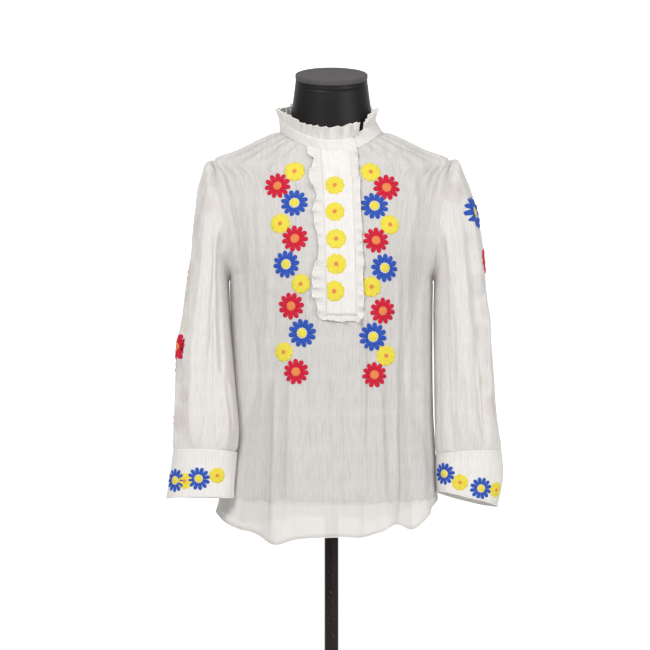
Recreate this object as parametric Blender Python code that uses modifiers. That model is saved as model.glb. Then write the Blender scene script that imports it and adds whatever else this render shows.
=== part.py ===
"""Blouse of sheer crinkled cotton on a limbless dress form. Metres, +Z up, the front faces -Y.

The blouse is cut as front, back, two sleeves with cuffs, a stand collar with a ruffle, and a front
placket edged with a ruffle. Every piece is a thin wall through sections worked out from the tables.
"""

import math
from collections import namedtuple

import bmesh
import bpy
from mathutils import Vector

# Cloth
COTTON = 0.0014
DOUBLED_COTTON = 0.0017
SEAM = 0.0003
SHARP_EDGE = math.radians(40)
LAP = 0.0023

# Columns of a body panel, counted from its middle to its side
PLACKET_COLUMNS = 3
PANEL_COLUMNS = 18
PLACKET_HALF_WIDTH = 0.024

# Gathers below the collar seam
GATHER_DEPTH = 0.0019
GATHER_RISE = 0.006
GATHER_REACH = 0.034
FLAT_COLUMNS = 4
SHALLOW_COLUMNS = 7
SHALLOW_SHARE = 0.4

# One row for each level of the body, hem first. Front and back share their side line, and the
# armhole opens forward and backward of it. rows is how many wall rows lead to the next level.
Level = namedtuple(
    "Level", "z_front y_front x_side z_side open_front open_back z_back y_back shift rows"
)
LEVELS = (
    Level(0.681, 0.1300, 0.1790, 0.7205, 0.000, 0.000, 0.682, 0.1340, 0.006, 2),
    Level(0.755, 0.1270, 0.1765, 0.782, 0.000, 0.000, 0.757, 0.1340, 0.008, 2),
    Level(0.858, 0.1245, 0.1715, 0.872, 0.000, 0.000, 0.860, 0.1270, 0.012, 1),
    Level(0.950, 0.1255, 0.1700, 0.955, 0.000, 0.000, 0.950, 0.1190, 0.015, 1),
    Level(1.041, 0.1290, 0.1700, 1.035, 0.000, 0.000, 1.034, 0.1140, 0.016, 1),
    Level(1.085, 0.1310, 0.1705, 1.074, 0.000, 0.000, 1.076, 0.1130, 0.016, 1),
    Level(1.114, 0.1300, 0.1712, 1.103, 0.000, 0.000, 1.108, 0.1135, 0.015, 1),
    Level(1.132, 0.1280, 0.1722, 1.114, 0.027, 0.028, 1.126, 0.1140, 0.015, 2),
    Level(1.158, 0.1235, 0.1742, 1.139, 0.046, 0.048, 1.158, 0.1150, 0.014, 2),
    Level(1.188, 0.1160, 0.1775, 1.176, 0.057, 0.059, 1.200, 0.1155, 0.013, 2),
    Level(1.217, 0.1080, 0.1835, 1.214, 0.056, 0.058, 1.242, 0.1130, 0.012, 2),
    Level(1.243, 0.1000, 0.1900, 1.252, 0.044, 0.046, 1.280, 0.1070, 0.011, 2),
    Level(1.261, 0.0945, 0.1955, 1.282, 0.025, 0.027, 1.305, 0.1010, 0.010, 1),
    Level(1.273, 0.0905, 0.1990, 1.3045, 0.000, 0.000, 1.320, 0.0955, 0.009, 1),
    Level(1.286, 0.0860, 0.1590, 1.3200, 0.000, 0.000, 1.340, 0.0870, 0.008, 1),
    Level(1.298, 0.0822, 0.1220, 1.3375, 0.000, 0.000, 1.358, 0.0780, 0.007, 1),
    Level(1.306, 0.0799, 0.0990, 1.3470, 0.000, 0.000, 1.371, 0.0710, 0.007, 1),
    Level(1.311, 0.0782, 0.0870, 1.3515, 0.000, 0.000, 1.379, 0.0665, 0.007, 0),
)
PLACKET_FOOT = 4
ARMPIT = 6
SHOULDER_TIP = 13
NECK = len(LEVELS) - 1

# Hanging folds of the panels: where each stands round the half body, how wide it is, how far it
# stands out at the hem (a hollow is negative), and the height at which it has faded out.
Fold = namedtuple("Fold", "angle width stands_out fades")
FRONT_FOLDS = (
    Fold(-63, 9, 0.0060, 0.90),
    Fold(-45, 8, -0.0070, 1.02),
    Fold(-27, 9, 0.0150, 1.08),
    Fold(-9, 8, -0.0060, 0.95),
    Fold(8, 9, 0.0060, 0.90),
    Fold(19, 5, -0.0070, 0.98),
    Fold(28, 7, 0.0090, 1.00),
    Fold(42, 6, -0.0060, 1.04),
    Fold(57, 8, 0.0110, 0.98),
)
BACK_FOLDS = (
    Fold(-60, 9, 0.0100, 0.95),
    Fold(-42, 7, -0.0060, 1.00),
    Fold(-24, 9, 0.0130, 1.06),
    Fold(-7, 8, -0.0070, 0.98),
    Fold(11, 9, 0.0110, 1.02),
    Fold(28, 7, -0.0060, 0.96),
    Fold(45, 8, 0.0120, 1.04),
    Fold(63, 8, -0.0050, 0.92),
)
FOLD_FREE_SIDE = 76.0

# Where the hem dips or rises (a rise is negative), by the angle round the half body.
HemWave = namedtuple("HemWave", "angle width drop")
FRONT_HEM = (
    HemWave(-44, 6, -0.0030),
    HemWave(-28, 7, 0.0110),
    HemWave(14, 7, 0.0040),
    HemWave(33, 7, -0.0090),
    HemWave(48, 7, 0.0120),
)
BACK_HEM = (
    HemWave(-50, 10, 0.0080),
    HemWave(-14, 9, -0.0070),
    HemWave(22, 10, 0.0080),
    HemWave(55, 9, -0.0050),
)
HEM_REACH = 0.045
HEM_TILT = 0.058
HEM_SQUARENESS = 2.0
LEFT_FLARE = 0.09
FLARE_FROM = 2.0

# Sleeves, one row for each ring below the armhole: the outer and inner point of the ring, how far
# its middle hangs forward, its half depth, and how much lower its back is than its front.
Ring = namedtuple("Ring", "x_out z_out x_in z_in forward half_depth lean")
RIGHT_SLEEVE = (
    Ring(0.2150, 1.3030, 0.1752, 1.0985, 0.000, 0.0625, 0.00),
    Ring(0.2300, 1.2640, 0.1752, 1.0890, 0.001, 0.0650, 0.00),
    Ring(0.2415, 1.2280, 0.1748, 1.0720, 0.003, 0.0665, 0.00),
    Ring(0.2495, 1.1860, 0.1740, 1.0490, 0.005, 0.0660, 0.02),
    Ring(0.2570, 1.1350, 0.1740, 1.0220, 0.008, 0.0640, 0.03),
    Ring(0.2605, 1.0850, 0.1740, 0.9920, 0.011, 0.0620, 0.05),
    Ring(0.2670, 1.0370, 0.1745, 0.9590, 0.014, 0.0600, 0.07),
    Ring(0.2690, 0.9900, 0.1750, 0.9250, 0.017, 0.0585, 0.09),
    Ring(0.2715, 0.9430, 0.1755, 0.8920, 0.020, 0.0570, 0.11),
    Ring(0.2735, 0.8950, 0.1765, 0.8600, 0.023, 0.0540, 0.13),
    Ring(0.2785, 0.8500, 0.1775, 0.8310, 0.026, 0.0490, 0.15),
    Ring(0.2850, 0.8120, 0.1785, 0.8070, 0.028, 0.0400, 0.18),
)
LEFT_SLEEVE = (
    Ring(0.2120, 1.2990, 0.1752, 1.0985, 0.000, 0.0635, 0.00),
    Ring(0.2220, 1.2640, 0.1750, 1.0890, 0.003, 0.0660, 0.00),
    Ring(0.2270, 1.2280, 0.1742, 1.0720, 0.007, 0.0670, 0.02),
    Ring(0.2325, 1.1860, 0.1730, 1.0490, 0.013, 0.0660, 0.03),
    Ring(0.2375, 1.1350, 0.1710, 1.0220, 0.021, 0.0640, 0.04),
    Ring(0.2450, 1.0850, 0.1680, 0.9920, 0.030, 0.0610, 0.05),
    Ring(0.2500, 1.0370, 0.1650, 0.9590, 0.038, 0.0580, 0.07),
    Ring(0.2580, 0.9900, 0.1620, 0.9250, 0.046, 0.0550, 0.09),
    Ring(0.2590, 0.9430, 0.1590, 0.8920, 0.052, 0.0520, 0.11),
    Ring(0.2590, 0.8950, 0.1570, 0.8610, 0.057, 0.0490, 0.13),
    Ring(0.2605, 0.8520, 0.1565, 0.8350, 0.061, 0.0450, 0.15),
    Ring(0.2620, 0.8170, 0.1600, 0.8130, 0.064, 0.0380, 0.18),
)
RIGHT_CUFF = (
    Ring(0.2870, 0.7680, 0.1785, 0.7770, 0.030, 0.0350, 0.20),
    Ring(0.2780, 0.7210, 0.1800, 0.7440, 0.032, 0.0345, 0.22),
)
LEFT_CUFF = (
    Ring(0.2675, 0.7780, 0.1630, 0.7750, 0.066, 0.0330, 0.20),
    Ring(0.2735, 0.7400, 0.1640, 0.7370, 0.068, 0.0330, 0.22),
)
SLEEVE_CLEAR_OF_BODY = 0.0023
TURNED_DOWN = (1.4, 3.2)
BODY_ENVELOPE_TOP = 1.100

# Long folds of the sleeves: angle from the outer line towards the front, width, depth.
Crease = namedtuple("Crease", "angle width depth")
RIGHT_CREASES = (
    Crease(38, 11, 0.0040),
    Crease(62, 10, -0.0050),
    Crease(90, 13, 0.0050),
    Crease(122, 10, -0.0040),
    Crease(215, 14, 0.0040),
    Crease(250, 12, -0.0040),
    Crease(290, 14, 0.0045),
)
LEFT_CREASES = (
    Crease(42, 11, -0.0050),
    Crease(70, 13, 0.0045),
    Crease(103, 10, -0.0040),
    Crease(132, 10, 0.0030),
    Crease(225, 14, 0.0040),
    Crease(262, 12, -0.0040),
    Crease(300, 14, 0.0045),
)
CREASE_GROWS_OVER = 3
CREASE_FADES_OVER = 1.2
EVEN_FROM_RING = 5
SLEEVE_HEAD_GATHER = 0.0016
HEAD_GATHER_REACH = 1.6
CUFF_GATHER = 0.0030
CUFF_GATHER_REACH = 4

# Cuffs open at a share of the way round from the outer line, and lap over their own start.
CUFF_OPENS_AT = 5 / 12
CUFF_LAP_COLUMNS = 3
CUFF_LAP_RISE = 3

# Stand collar and its ruffle. The collar's rows are how far each stands above the seam, its share
# of the seam's width and how far it leans aside; the ruffle's are rise, flare and share of wave.
COLLAR_LEAN = Vector((0.0, -0.30, 0.954))
JUST_BELOW = 0.3
COLLAR_MIDDLE = Vector((0.0, -0.004, 0.0))
COLLAR_ROWS = ((0.0060, 0.975, -0.002), (0.0195, 0.935, -0.007))
COLLAR_LAP_RISE = 4
COLLAR_OPENS_FROM = 2
COLLAR_OPENS_TO = 5
RUFFLE_STARTS_AT = 6
RUFFLE_ROWS = ((0.0090, 0.0010, 0.45), (0.0200, 0.0030, 1.0))
RUFFLE_WAVE = 0.0034

# Placket ruffle
TRIM_WIDTH_LEFT = 0.0160
TRIM_WIDTH_RIGHT = 0.0120
TRIM_WIDTH_FOOT = 0.0090
TRIM_LIFT = 0.0012
TRIM_WAVE = 0.0045
TRIM_SWELL = 0.22
TRIM_BEAT = 1.7
TRIM_CLEAR = 0.0006
TRIM_STEPS_LEFT = 1
TRIM_STEPS_RIGHT = 2
TRIM_STEPS_FOOT = 2
TRIM_CORNER_STEPS = 4

# Dress form: rings of the torso and neck, from the open hip to the top of the neck. flat is 2 where
# the ring rolls over the shoulder and 1 where it is a plain tilted cut.
FormRing = namedtuple("FormRing", "half_width z_side y_side front z_front back z_back flat")
FORM_RINGS = (
    FormRing(0.1630, 0.7270, 0.0000, 0.1070, 0.727, 0.1160, 0.727, 1.0),
    FormRing(0.1660, 0.7700, 0.0000, 0.1090, 0.770, 0.1210, 0.770, 1.0),
    FormRing(0.1590, 0.8300, 0.0000, 0.1040, 0.830, 0.1120, 0.830, 1.0),
    FormRing(0.1380, 0.8800, 0.0000, 0.0920, 0.880, 0.0930, 0.880, 1.0),
    FormRing(0.1240, 0.9300, 0.0000, 0.0840, 0.930, 0.0820, 0.930, 1.0),
    FormRing(0.1290, 0.9900, 0.0000, 0.0940, 0.993, 0.0850, 0.990, 1.0),
    FormRing(0.1440, 1.0580, 0.0000, 0.1180, 1.068, 0.0950, 1.058, 1.0),
    FormRing(0.1530, 1.1160, 0.0000, 0.1200, 1.125, 0.1010, 1.119, 1.2),
    FormRing(0.1620, 1.1720, 0.0000, 0.1060, 1.176, 0.1050, 1.184, 1.5),
    FormRing(0.1730, 1.2290, 0.0000, 0.0910, 1.222, 0.1010, 1.244, 1.8),
    FormRing(0.1815, 1.2660, 0.0000, 0.0840, 1.247, 0.0940, 1.285, 2.0),
    FormRing(0.1835, 1.2910, 0.0000, 0.0810, 1.262, 0.0880, 1.306, 2.0),
    FormRing(0.1720, 1.3085, 0.0000, 0.0780, 1.273, 0.0820, 1.320, 2.0),
    FormRing(0.1400, 1.3283, 0.0000, 0.0750, 1.288, 0.0750, 1.340, 2.0),
    FormRing(0.1100, 1.3418, 0.0000, 0.0720, 1.299, 0.0680, 1.354, 2.0),
    FormRing(0.0865, 1.3505, 0.0000, 0.0680, 1.309, 0.0600, 1.368, 1.8),
    FormRing(0.0755, 1.3610, -0.0020, 0.0620, 1.322, 0.0540, 1.380, 1.5),
    FormRing(0.0700, 1.3780, -0.0040, 0.0580, 1.343, 0.0520, 1.397, 1.2),
    FormRing(0.0655, 1.4030, -0.0070, 0.0560, 1.375, 0.0515, 1.420, 1.0),
    FormRing(0.0605, 1.4415, -0.0100, 0.0560, 1.4215, 0.0560, 1.4615, 1.0),
)
FORM_COLUMNS = 32
CAP_THICKNESS = 0.0085
CAP_GROWTH = 1.012
CAP_BEVEL = 0.0016
CAP_TOP_GROWTH = 0.986
POLE_RADIUS = 0.012
POLE_SIDES = 24
HUB_HEIGHT = 0.034
BASE_PROFILE = (
    (0.0000, HUB_HEIGHT),
    (0.0170, HUB_HEIGHT),
    (0.0200, 0.0310),
    (0.0210, 0.0130),
    (0.0260, 0.0105),
    (0.1480, 0.0080),
    (0.1500, 0.0060),
    (0.1500, 0.0000),
    (0.0000, 0.0000),
)
BASE_SIDES = 40

# Colours: red, green and blue, roughness, metallic
COTTON_WHITE = ((0.86, 0.83, 0.79), 0.9, 0.0)
FORM_BLACK = ((0.018, 0.016, 0.016), 0.45, 0.0)
CAP_GREY = ((0.055, 0.052, 0.053), 0.4, 0.0)
POLE_BLACK = ((0.022, 0.017, 0.016), 0.35, 0.6)


def clear_scene():
    for thing in list(bpy.data.objects):
        bpy.data.objects.remove(thing)


def material(name, look):
    colour, roughness, metallic = look
    made = bpy.data.materials.new(name)
    made.use_nodes = True
    shader = made.node_tree.nodes["Principled BSDF"]
    shader.inputs["Base Color"].default_value = (*colour, 1.0)
    shader.inputs["Roughness"].default_value = roughness
    shader.inputs["Metallic"].default_value = metallic
    return made


def collection():
    made = bpy.data.collections.new("blouse_on_form")
    bpy.context.scene.collection.children.link(made)
    return made


def spline(a, b, c, d, f):
    """Catmull-Rom curve from b to c at the fraction f."""
    return b + 0.5 * f * (c - a + f * (2 * a - 5 * b + 4 * c - d + f * (3 * (b - c) + d - a)))


def read_table(rows, place):
    """The row of a table at a place between its rows, read along a smooth curve."""
    last = len(rows) - 1
    at = min(max(int(math.floor(place)), 0), last - 1)
    near = [rows[min(max(at + k, 0), last)] for k in (-1, 0, 1, 2)]
    return type(near[1])(*(spline(*values, place - at) for values in zip(*near)))


def smooth_step(low, high, value):
    share = min(max((value - low) / (high - low), 0.0), 1.0)
    return share * share * (3 - 2 * share)


def wall_places(first, last):
    """Places of the wall rows between two levels, both included."""
    places = []
    for index in range(first, last):
        count = LEVELS[index].rows
        places += [index + step / count for step in range(count)]
    return places + [float(last)]


def edge_angle(level, side):
    """The section's angle at the panel's edge, where it meets the seam or the armhole."""
    depth, opening = (
        (level.y_front, level.open_front) if side > 0 else (level.y_back, level.open_back)
    )
    return math.acos(max(opening, SEAM / 2) / depth)


def column_angle(level, side, column):
    """Angle of a column: evenly spaced over the placket, then evenly spaced to the edge."""
    edge = edge_angle(level, side)
    reach = level.x_side / math.sin(edge)
    count = abs(column)
    step = PLACKET_HALF_WIDTH / PLACKET_COLUMNS
    if count <= PLACKET_COLUMNS:
        angle = math.asin(step * count / reach)
    else:
        start = math.asin(PLACKET_HALF_WIDTH / reach)
        share = (count - PLACKET_COLUMNS) / (PANEL_COLUMNS - PLACKET_COLUMNS)
        angle = start + (edge - start) * share
    return math.copysign(angle, column)


def flare(share, low):
    """How much wider the left side hangs. low grows from 0 to 1 at the hem."""
    return 1 + LEFT_FLARE * low * low if share < 0 else 1.0


def smooth_body(side, angle, place):
    """Point of the body without folds. side is 1 on the front and -1 on the back."""
    level = read_table(LEVELS, place)
    edge = edge_angle(level, side)
    depth, z_middle = (
        (level.y_front, level.z_front) if side > 0 else (level.y_back, level.z_back)
    )
    share = math.sin(angle) / math.sin(edge)
    drift = level.shift * max(0.0, 1 - share * share) ** 2 if side > 0 else 0.0
    low = max(0.0, 1 - place / FLARE_FROM)
    return Vector(
        (
            level.x_side * share * flare(share, low) + drift,
            -side * depth * math.cos(angle),
            z_middle + (level.z_side - z_middle) * abs(share) ** (2 + HEM_SQUARENESS * low),
        )
    )


def body_normal(side, angle, place):
    """Outward direction of the body without folds."""
    turn, climb = 0.004, 0.02
    low, high = max(place - climb, 0.0), min(place + climb, float(NECK))
    across = smooth_body(side, angle + turn, place) - smooth_body(side, angle - turn, place)
    edge_low, edge_high = (
        edge_angle(read_table(LEVELS, at), side) for at in (low, high)
    )
    here = edge_angle(read_table(LEVELS, place), side)
    up = smooth_body(side, angle * edge_high / here, high) - smooth_body(
        side, angle * edge_low / here, low
    )
    return (across.cross(up) * side).normalized()


def body_folds(side, angle, z):
    """How far the hanging folds stand out of the body at an angle and height."""
    degrees = math.degrees(angle)
    free = 1 - smooth_step(FOLD_FREE_SIDE - 14, FOLD_FREE_SIDE, abs(degrees))
    total = 0.0
    for fold in FRONT_FOLDS if side > 0 else BACK_FOLDS:
        grown = 1 - smooth_step(LEVELS[0].z_front, fold.fades, z)
        total += fold.stands_out * grown * math.exp(-(((degrees - fold.angle) / fold.width) ** 2))
    return total * free


def hem_drop(side, angle, point, place):
    """How far the cloth is let down at a point, fading out above the hem."""
    above = read_table(LEVELS, place).z_front - LEVELS[0].z_front
    degrees = math.degrees(angle)
    waves = FRONT_HEM if side > 0 else BACK_HEM
    total = sum(w.drop * math.exp(-(((degrees - w.angle) / w.width) ** 2)) for w in waves)
    return (total - HEM_TILT * point.x) * math.exp(-above / HEM_REACH)


def neck_gathers(side, column, place):
    """Small pleats below the collar seam: every other column stands out."""
    if abs(column) < FLAT_COLUMNS:
        return 0.0
    level = read_table(LEVELS, place)
    below = LEVELS[NECK].z_front - level.z_front
    if side < 0:
        below = LEVELS[NECK].z_back - level.z_back
    size = smooth_step(0.0, GATHER_RISE, below) * math.exp(-below / GATHER_REACH)
    if abs(column) < SHALLOW_COLUMNS:
        size *= SHALLOW_SHARE
    return GATHER_DEPTH * size * (column % 2)


def body_point(side, column, place):
    """Point of the inner face of the body and the outward direction there."""
    level = read_table(LEVELS, place)
    angle = column_angle(level, side, column)
    normal = body_normal(side, angle, place)
    point = smooth_body(side, angle, place)
    out = body_folds(side, angle, point.z) + neck_gathers(side, column, place)
    point.z -= hem_drop(side, angle, point, place)
    return point + normal * out, normal


def add_object(name, mesh, look, home):
    made = bpy.data.objects.new(name, mesh)
    mesh.materials.append(look)
    home.objects.link(made)
    return made


def cloth_wall(name, grid, thickness, look, home, ring=False):
    """A closed wall of cloth: grid is rows of (inner point, outward direction)."""
    build = bmesh.new()
    inner = [[build.verts.new(point) for point, _ in row] for row in grid]
    outer = [[build.verts.new(point + out * thickness) for point, out in row] for row in grid]
    rows, columns = len(grid), len(grid[0])
    spans = columns if ring else columns - 1
    for r in range(rows - 1):
        for c in range(spans):
            d = (c + 1) % columns
            build.faces.new((inner[r][c], inner[r + 1][c], inner[r + 1][d], inner[r][d]))
            build.faces.new((outer[r][c], outer[r][d], outer[r + 1][d], outer[r + 1][c]))
    for r in (0, rows - 1):
        for c in range(spans):
            d = (c + 1) % columns
            build.faces.new((inner[r][c], inner[r][d], outer[r][d], outer[r][c]))
    if not ring:
        for c in (0, columns - 1):
            for r in range(rows - 1):
                build.faces.new((inner[r][c], outer[r][c], outer[r + 1][c], inner[r + 1][c]))
    bmesh.ops.recalc_face_normals(build, faces=build.faces)
    mesh = bpy.data.meshes.new(name)
    build.to_mesh(mesh)
    build.free()
    mesh.shade_smooth()
    mesh.set_sharp_from_angle(angle=SHARP_EDGE)
    return add_object(name, mesh, look, home)


def grid_normals(points, hand, ring=False):
    """Outward directions of the rows of a sleeve or cuff, listed from its top down."""
    rows, columns = len(points), len(points[0])
    found = []
    for r in range(rows):
        line = []
        for c in range(columns):
            if ring:
                across = points[r][(c + 1) % columns] - points[r][c - 1]
            else:
                across = points[r][min(c + 1, columns - 1)] - points[r][max(c - 1, 0)]
            down = points[min(r + 1, rows - 1)][c] - points[max(r - 1, 0)][c]
            line.append((across.cross(down) * hand).normalized())
        found.append(line)
    return found


def make_panel(name, side, look, home):
    columns = range(-PANEL_COLUMNS, PANEL_COLUMNS + 1)
    grid = [[body_point(side, c, place) for c in columns] for place in wall_places(0, NECK)]
    return cloth_wall(name, grid, COTTON, look, home)


def armhole_ring(hand):
    """Start of the sleeve: from the shoulder tip down the front of the armhole and up its back.

    Each point stands 0.3 mm off the edge of the panel. Low on the armhole, where the sleeve turns
    down over the edge, it starts outside the panel.
    """
    places = wall_places(ARMPIT, SHOULDER_TIP)
    stations = [(1, place) for place in reversed(places)]
    stations += [(-1, place) for place in places[1:-1]]
    edge = [body_point(side, hand * PANEL_COLUMNS, place) for side, place in stations]
    count = len(edge)
    hole = sum((point for point, _ in edge), Vector()) / count
    ring = []
    for i, (point, out) in enumerate(edge):
        along = (edge[(i + 1) % count][0] - edge[i - 1][0]).normalized()
        across = along.cross(out).normalized()
        if across.dot(hole - point) < 0:
            across = -across
        over = 1 - smooth_step(*TURNED_DOWN, stations[i][1] - ARMPIT)
        ring.append((point + across * SEAM + out * (COTTON + SEAM) * over, out))
    return ring


def body_envelope(z, hand):
    """Half width and half depths of the body on one side, at a height below the armpit."""
    rows = LEVELS[: ARMPIT + 1]
    at = next((i for i in range(1, len(rows)) if rows[i].z_side >= z), len(rows) - 1)
    low, high = rows[at - 1], rows[at]
    f = min(max((z - low.z_side) / (high.z_side - low.z_side), 0.0), 1.0)
    fall = max(0.0, 1 - (at - 1 + f) / FLARE_FROM)
    return (
        (low.x_side + f * (high.x_side - low.x_side)) * flare(hand, fall),
        low.y_front + f * (high.y_front - low.y_front),
        low.y_back + f * (high.y_back - low.y_back),
    )


def keep_clear(point):
    """Moves a point of a sleeve out of the body, so that the sleeve lies against its side."""
    if point.z > BODY_ENVELOPE_TOP:
        return point
    width, front, back = body_envelope(point.z, point.x)
    side, depth = (1, front) if point.y < 0 else (-1, back)
    angle = math.atan2(point.x / width, abs(point.y) / depth)
    margin = COTTON + SLEEVE_CLEAR_OF_BODY + max(body_folds(side, angle, point.z), 0.0)
    inside = math.hypot(point.x / (width + margin), point.y / (depth + margin))
    if inside >= 1:
        return point
    return Vector((point.x / inside, point.y / inside, point.z))


def ring_point(ring, angle, hand, out):
    """Point of a sleeve or cuff ring. angle 0 is its outer line and 90 degrees its front."""
    middle = Vector((ring.x_out + ring.x_in, 0.0, ring.z_out + ring.z_in)) / 2
    half = Vector((ring.x_out - ring.x_in, 0.0, ring.z_out - ring.z_in)) / 2
    point = middle + half * (math.cos(angle) * (1 + out / half.length))
    point.y = -(ring.half_depth + out) * math.sin(angle)
    point.z += ring.lean * -point.y
    point.y -= ring.forward
    point.x *= hand
    return keep_clear(point)


def turn_between(a, b):
    return (a - b + 180) % 360 - 180


def sleeve_creases(creases, degrees):
    return sum(
        crease.depth * math.exp(-((turn_between(degrees, crease.angle) / crease.width) ** 2))
        for crease in creases
    )


def angle_on_ring(ring, hand, point):
    """Angle of a point as seen from the middle of a ring."""
    middle = Vector((ring.x_out + ring.x_in, 0.0, ring.z_out + ring.z_in)) / 2
    half = Vector((ring.x_out - ring.x_in, 0.0, ring.z_out - ring.z_in)) / 2
    off = Vector((point.x * hand, 0.0, point.z)) - middle
    return math.atan2(-point.y / ring.half_depth, off.dot(half) / half.length_squared)


def sleeve_rows(rings, creases, hand, armhole):
    """Rows of points of a sleeve below its armhole edge."""
    rows = []
    last = len(rings) - 1
    columns = len(armhole)
    starts = [angle_on_ring(rings[0], hand, point) % (2 * math.pi) for point, _ in armhole]
    starts[0] = 0.0
    for index, ring in enumerate(rings):
        grown = smooth_step(0, CREASE_GROWS_OVER, index)
        grown *= 1 - smooth_step(last - CREASE_FADES_OVER, last, index)
        head = SLEEVE_HEAD_GATHER * math.exp(-index / HEAD_GATHER_REACH)
        foot = CUFF_GATHER * smooth_step(last - CUFF_GATHER_REACH, last - 1, index)
        if index == last:
            foot = 0.0
        row = []
        even = smooth_step(-1, EVEN_FROM_RING, index)
        for column, start in enumerate(starts):
            angle = start + (2 * math.pi * column / columns - start) * even
            out = sleeve_creases(creases, math.degrees(angle)) * grown
            out += head * (column % 2) * max(0.0, math.cos(angle)) + foot * (column % 2)
            row.append(ring_point(ring, angle, hand, out))
        rows.append(row)
    return rows


def make_sleeve(name, rings, creases, hand, look, home):
    first = armhole_ring(hand)
    rows = sleeve_rows(rings, creases, hand, first)
    points = [[point for point, _ in first]] + rows
    outward = grid_normals(points, hand, ring=True)
    grid = [list(zip(line, way)) for line, way in zip(points, outward)]
    grid[0] = first
    cloth_wall(name, grid, COTTON, look, home, ring=True)
    return points[-1], outward[-1]


def make_cuff(name, rings, hand, seam_points, seam_ways, look, home):
    """Cuff band: starts at the front inner line, goes round, and laps over its own start."""
    columns = len(seam_points)
    start = round(columns * CUFF_OPENS_AT)
    order = [start + step for step in range(columns + CUFF_LAP_COLUMNS)]
    down = Vector((0.0, 0.0, -SEAM))
    grid = []
    rows = [[seam_points[c % columns] + down for c in order]]
    for ring in rings:
        rows.append(
            [ring_point(ring, 2 * math.pi * c / columns, hand, 0.0) for c in order]
        )
    ways = grid_normals(rows, hand)
    ways[0] = [seam_ways[c % columns] for c in order]
    for line, way in zip(rows, ways):
        row = []
        for step, (point, out) in enumerate(zip(line, way)):
            lifted = LAP * smooth_step(columns - CUFF_LAP_RISE, columns - 0.5, step)
            row.append((point + out * lifted, out))
        grid.append(row)
    cloth_wall(name, grid, DOUBLED_COTTON, look, home)


def neck_edge():
    """Collar seam from the under end of the collar, round the back, to its upper end."""
    places = [(1, c) for c in range(COLLAR_OPENS_FROM, PANEL_COLUMNS + 1)]
    places += [(-1, c) for c in range(PANEL_COLUMNS, -PANEL_COLUMNS - 1, -1)]
    places += [(1, c) for c in range(-PANEL_COLUMNS, COLLAR_OPENS_TO + 1)]
    edge = []
    for side, column in places:
        point, normal = body_point(side, column, NECK)
        below, _ = body_point(side, column, NECK - JUST_BELOW)
        edge.append((point + (point - below).normalized() * SEAM, normal))
    return edge


def lap_lift(index, count):
    """The upper end of the collar stands off the lower end by its own thickness."""
    lapped = count - 1 - (COLLAR_OPENS_TO - COLLAR_OPENS_FROM)
    return LAP * smooth_step(lapped - COLLAR_LAP_RISE, lapped - 0.5, index)


def collar_point(point, rise, share, aside):
    """A point of the seam carried up the collar and drawn in towards the neck."""
    flat = Vector((point.x, point.y, 0.0)) - COLLAR_MIDDLE
    drawn = COLLAR_MIDDLE + flat * share
    return Vector((drawn.x + aside, drawn.y, point.z)) + COLLAR_LEAN * rise


def around_out(point):
    """Direction away from the middle of the neck."""
    flat = Vector((point.x, point.y, 0.0)) - COLLAR_MIDDLE
    return flat.normalized()


def make_collar(look, home):
    seam = neck_edge()
    count = len(seam)
    rows = [[(p + n * lap_lift(i, count), n) for i, (p, n) in enumerate(seam)]]
    for rise, share, aside in COLLAR_ROWS:
        row = []
        for i, (point, _) in enumerate(seam):
            risen = collar_point(point, rise, share, aside)
            out = around_out(risen)
            row.append((risen + out * lap_lift(i, count), out))
        rows.append(row)
    cloth_wall("collar_band", rows, DOUBLED_COTTON, look, home)
    return rows[-1]


def make_collar_ruffle(top, look, home):
    top = top[RUFFLE_STARTS_AT:]
    rows = [[(point + COLLAR_LEAN * SEAM, out) for point, out in top]]
    for rise, flare, wave in RUFFLE_ROWS:
        row = []
        for i, (point, out) in enumerate(top):
            swing = RUFFLE_WAVE * wave * (1 if i % 2 else -1)
            row.append((point + COLLAR_LEAN * rise + out * (flare + swing), out))
        rows.append(row)
    cloth_wall("collar_ruffle", rows, COTTON, look, home)


def make_placket(look, home):
    """The placket is made from the front's own points, moved out."""
    stand_off = COTTON + SEAM
    grid = []
    for place in wall_places(PLACKET_FOOT, NECK):
        row = []
        for column in range(-PLACKET_COLUMNS, PLACKET_COLUMNS + 1):
            point, out = body_point(1, column, place)
            row.append((point + out * stand_off, out))
        grid.append(row)
    cloth_wall("placket", grid, DOUBLED_COTTON, look, home)
    return grid


def trim_path(grid):
    """Edge of the placket down its left side, round its foot and up its right side, as points,
    directions away from the placket, outward directions and ruffle widths."""
    path = []
    left = [(row[0], (row[0][0] - row[1][0]).normalized()) for row in reversed(grid)]
    right = [(row[-1], (row[-1][0] - row[-2][0]).normalized()) for row in grid]
    foot = [(cell, (cell[0] - above[0]).normalized()) for cell, above in zip(grid[0], grid[1])]

    def run(cells, width, steps):
        for (a, way_a), (b, way_b) in zip(cells, cells[1:]):
            for step in range(steps):
                f = step / steps
                path.append((a[0].lerp(b[0], f), way_a.lerp(way_b, f), a[1].lerp(b[1], f), width))

    def corner(cell, way_from, way_to, width_from, width_to):
        for step in range(TRIM_CORNER_STEPS):
            f = step / TRIM_CORNER_STEPS
            turned = way_from.slerp(way_to, f)
            path.append((cell[0], turned, cell[1], width_from + f * (width_to - width_from)))

    run(left, TRIM_WIDTH_LEFT, TRIM_STEPS_LEFT)
    corner(grid[0][0], left[-1][1], foot[0][1], TRIM_WIDTH_LEFT, TRIM_WIDTH_FOOT)
    run(foot, TRIM_WIDTH_FOOT, TRIM_STEPS_FOOT)
    corner(grid[0][-1], foot[-1][1], right[0][1], TRIM_WIDTH_FOOT, TRIM_WIDTH_RIGHT)
    run(right, TRIM_WIDTH_RIGHT, TRIM_STEPS_RIGHT)
    path.append((right[-1][0][0], right[-1][1], right[-1][0][1], TRIM_WIDTH_RIGHT))
    return path


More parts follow.
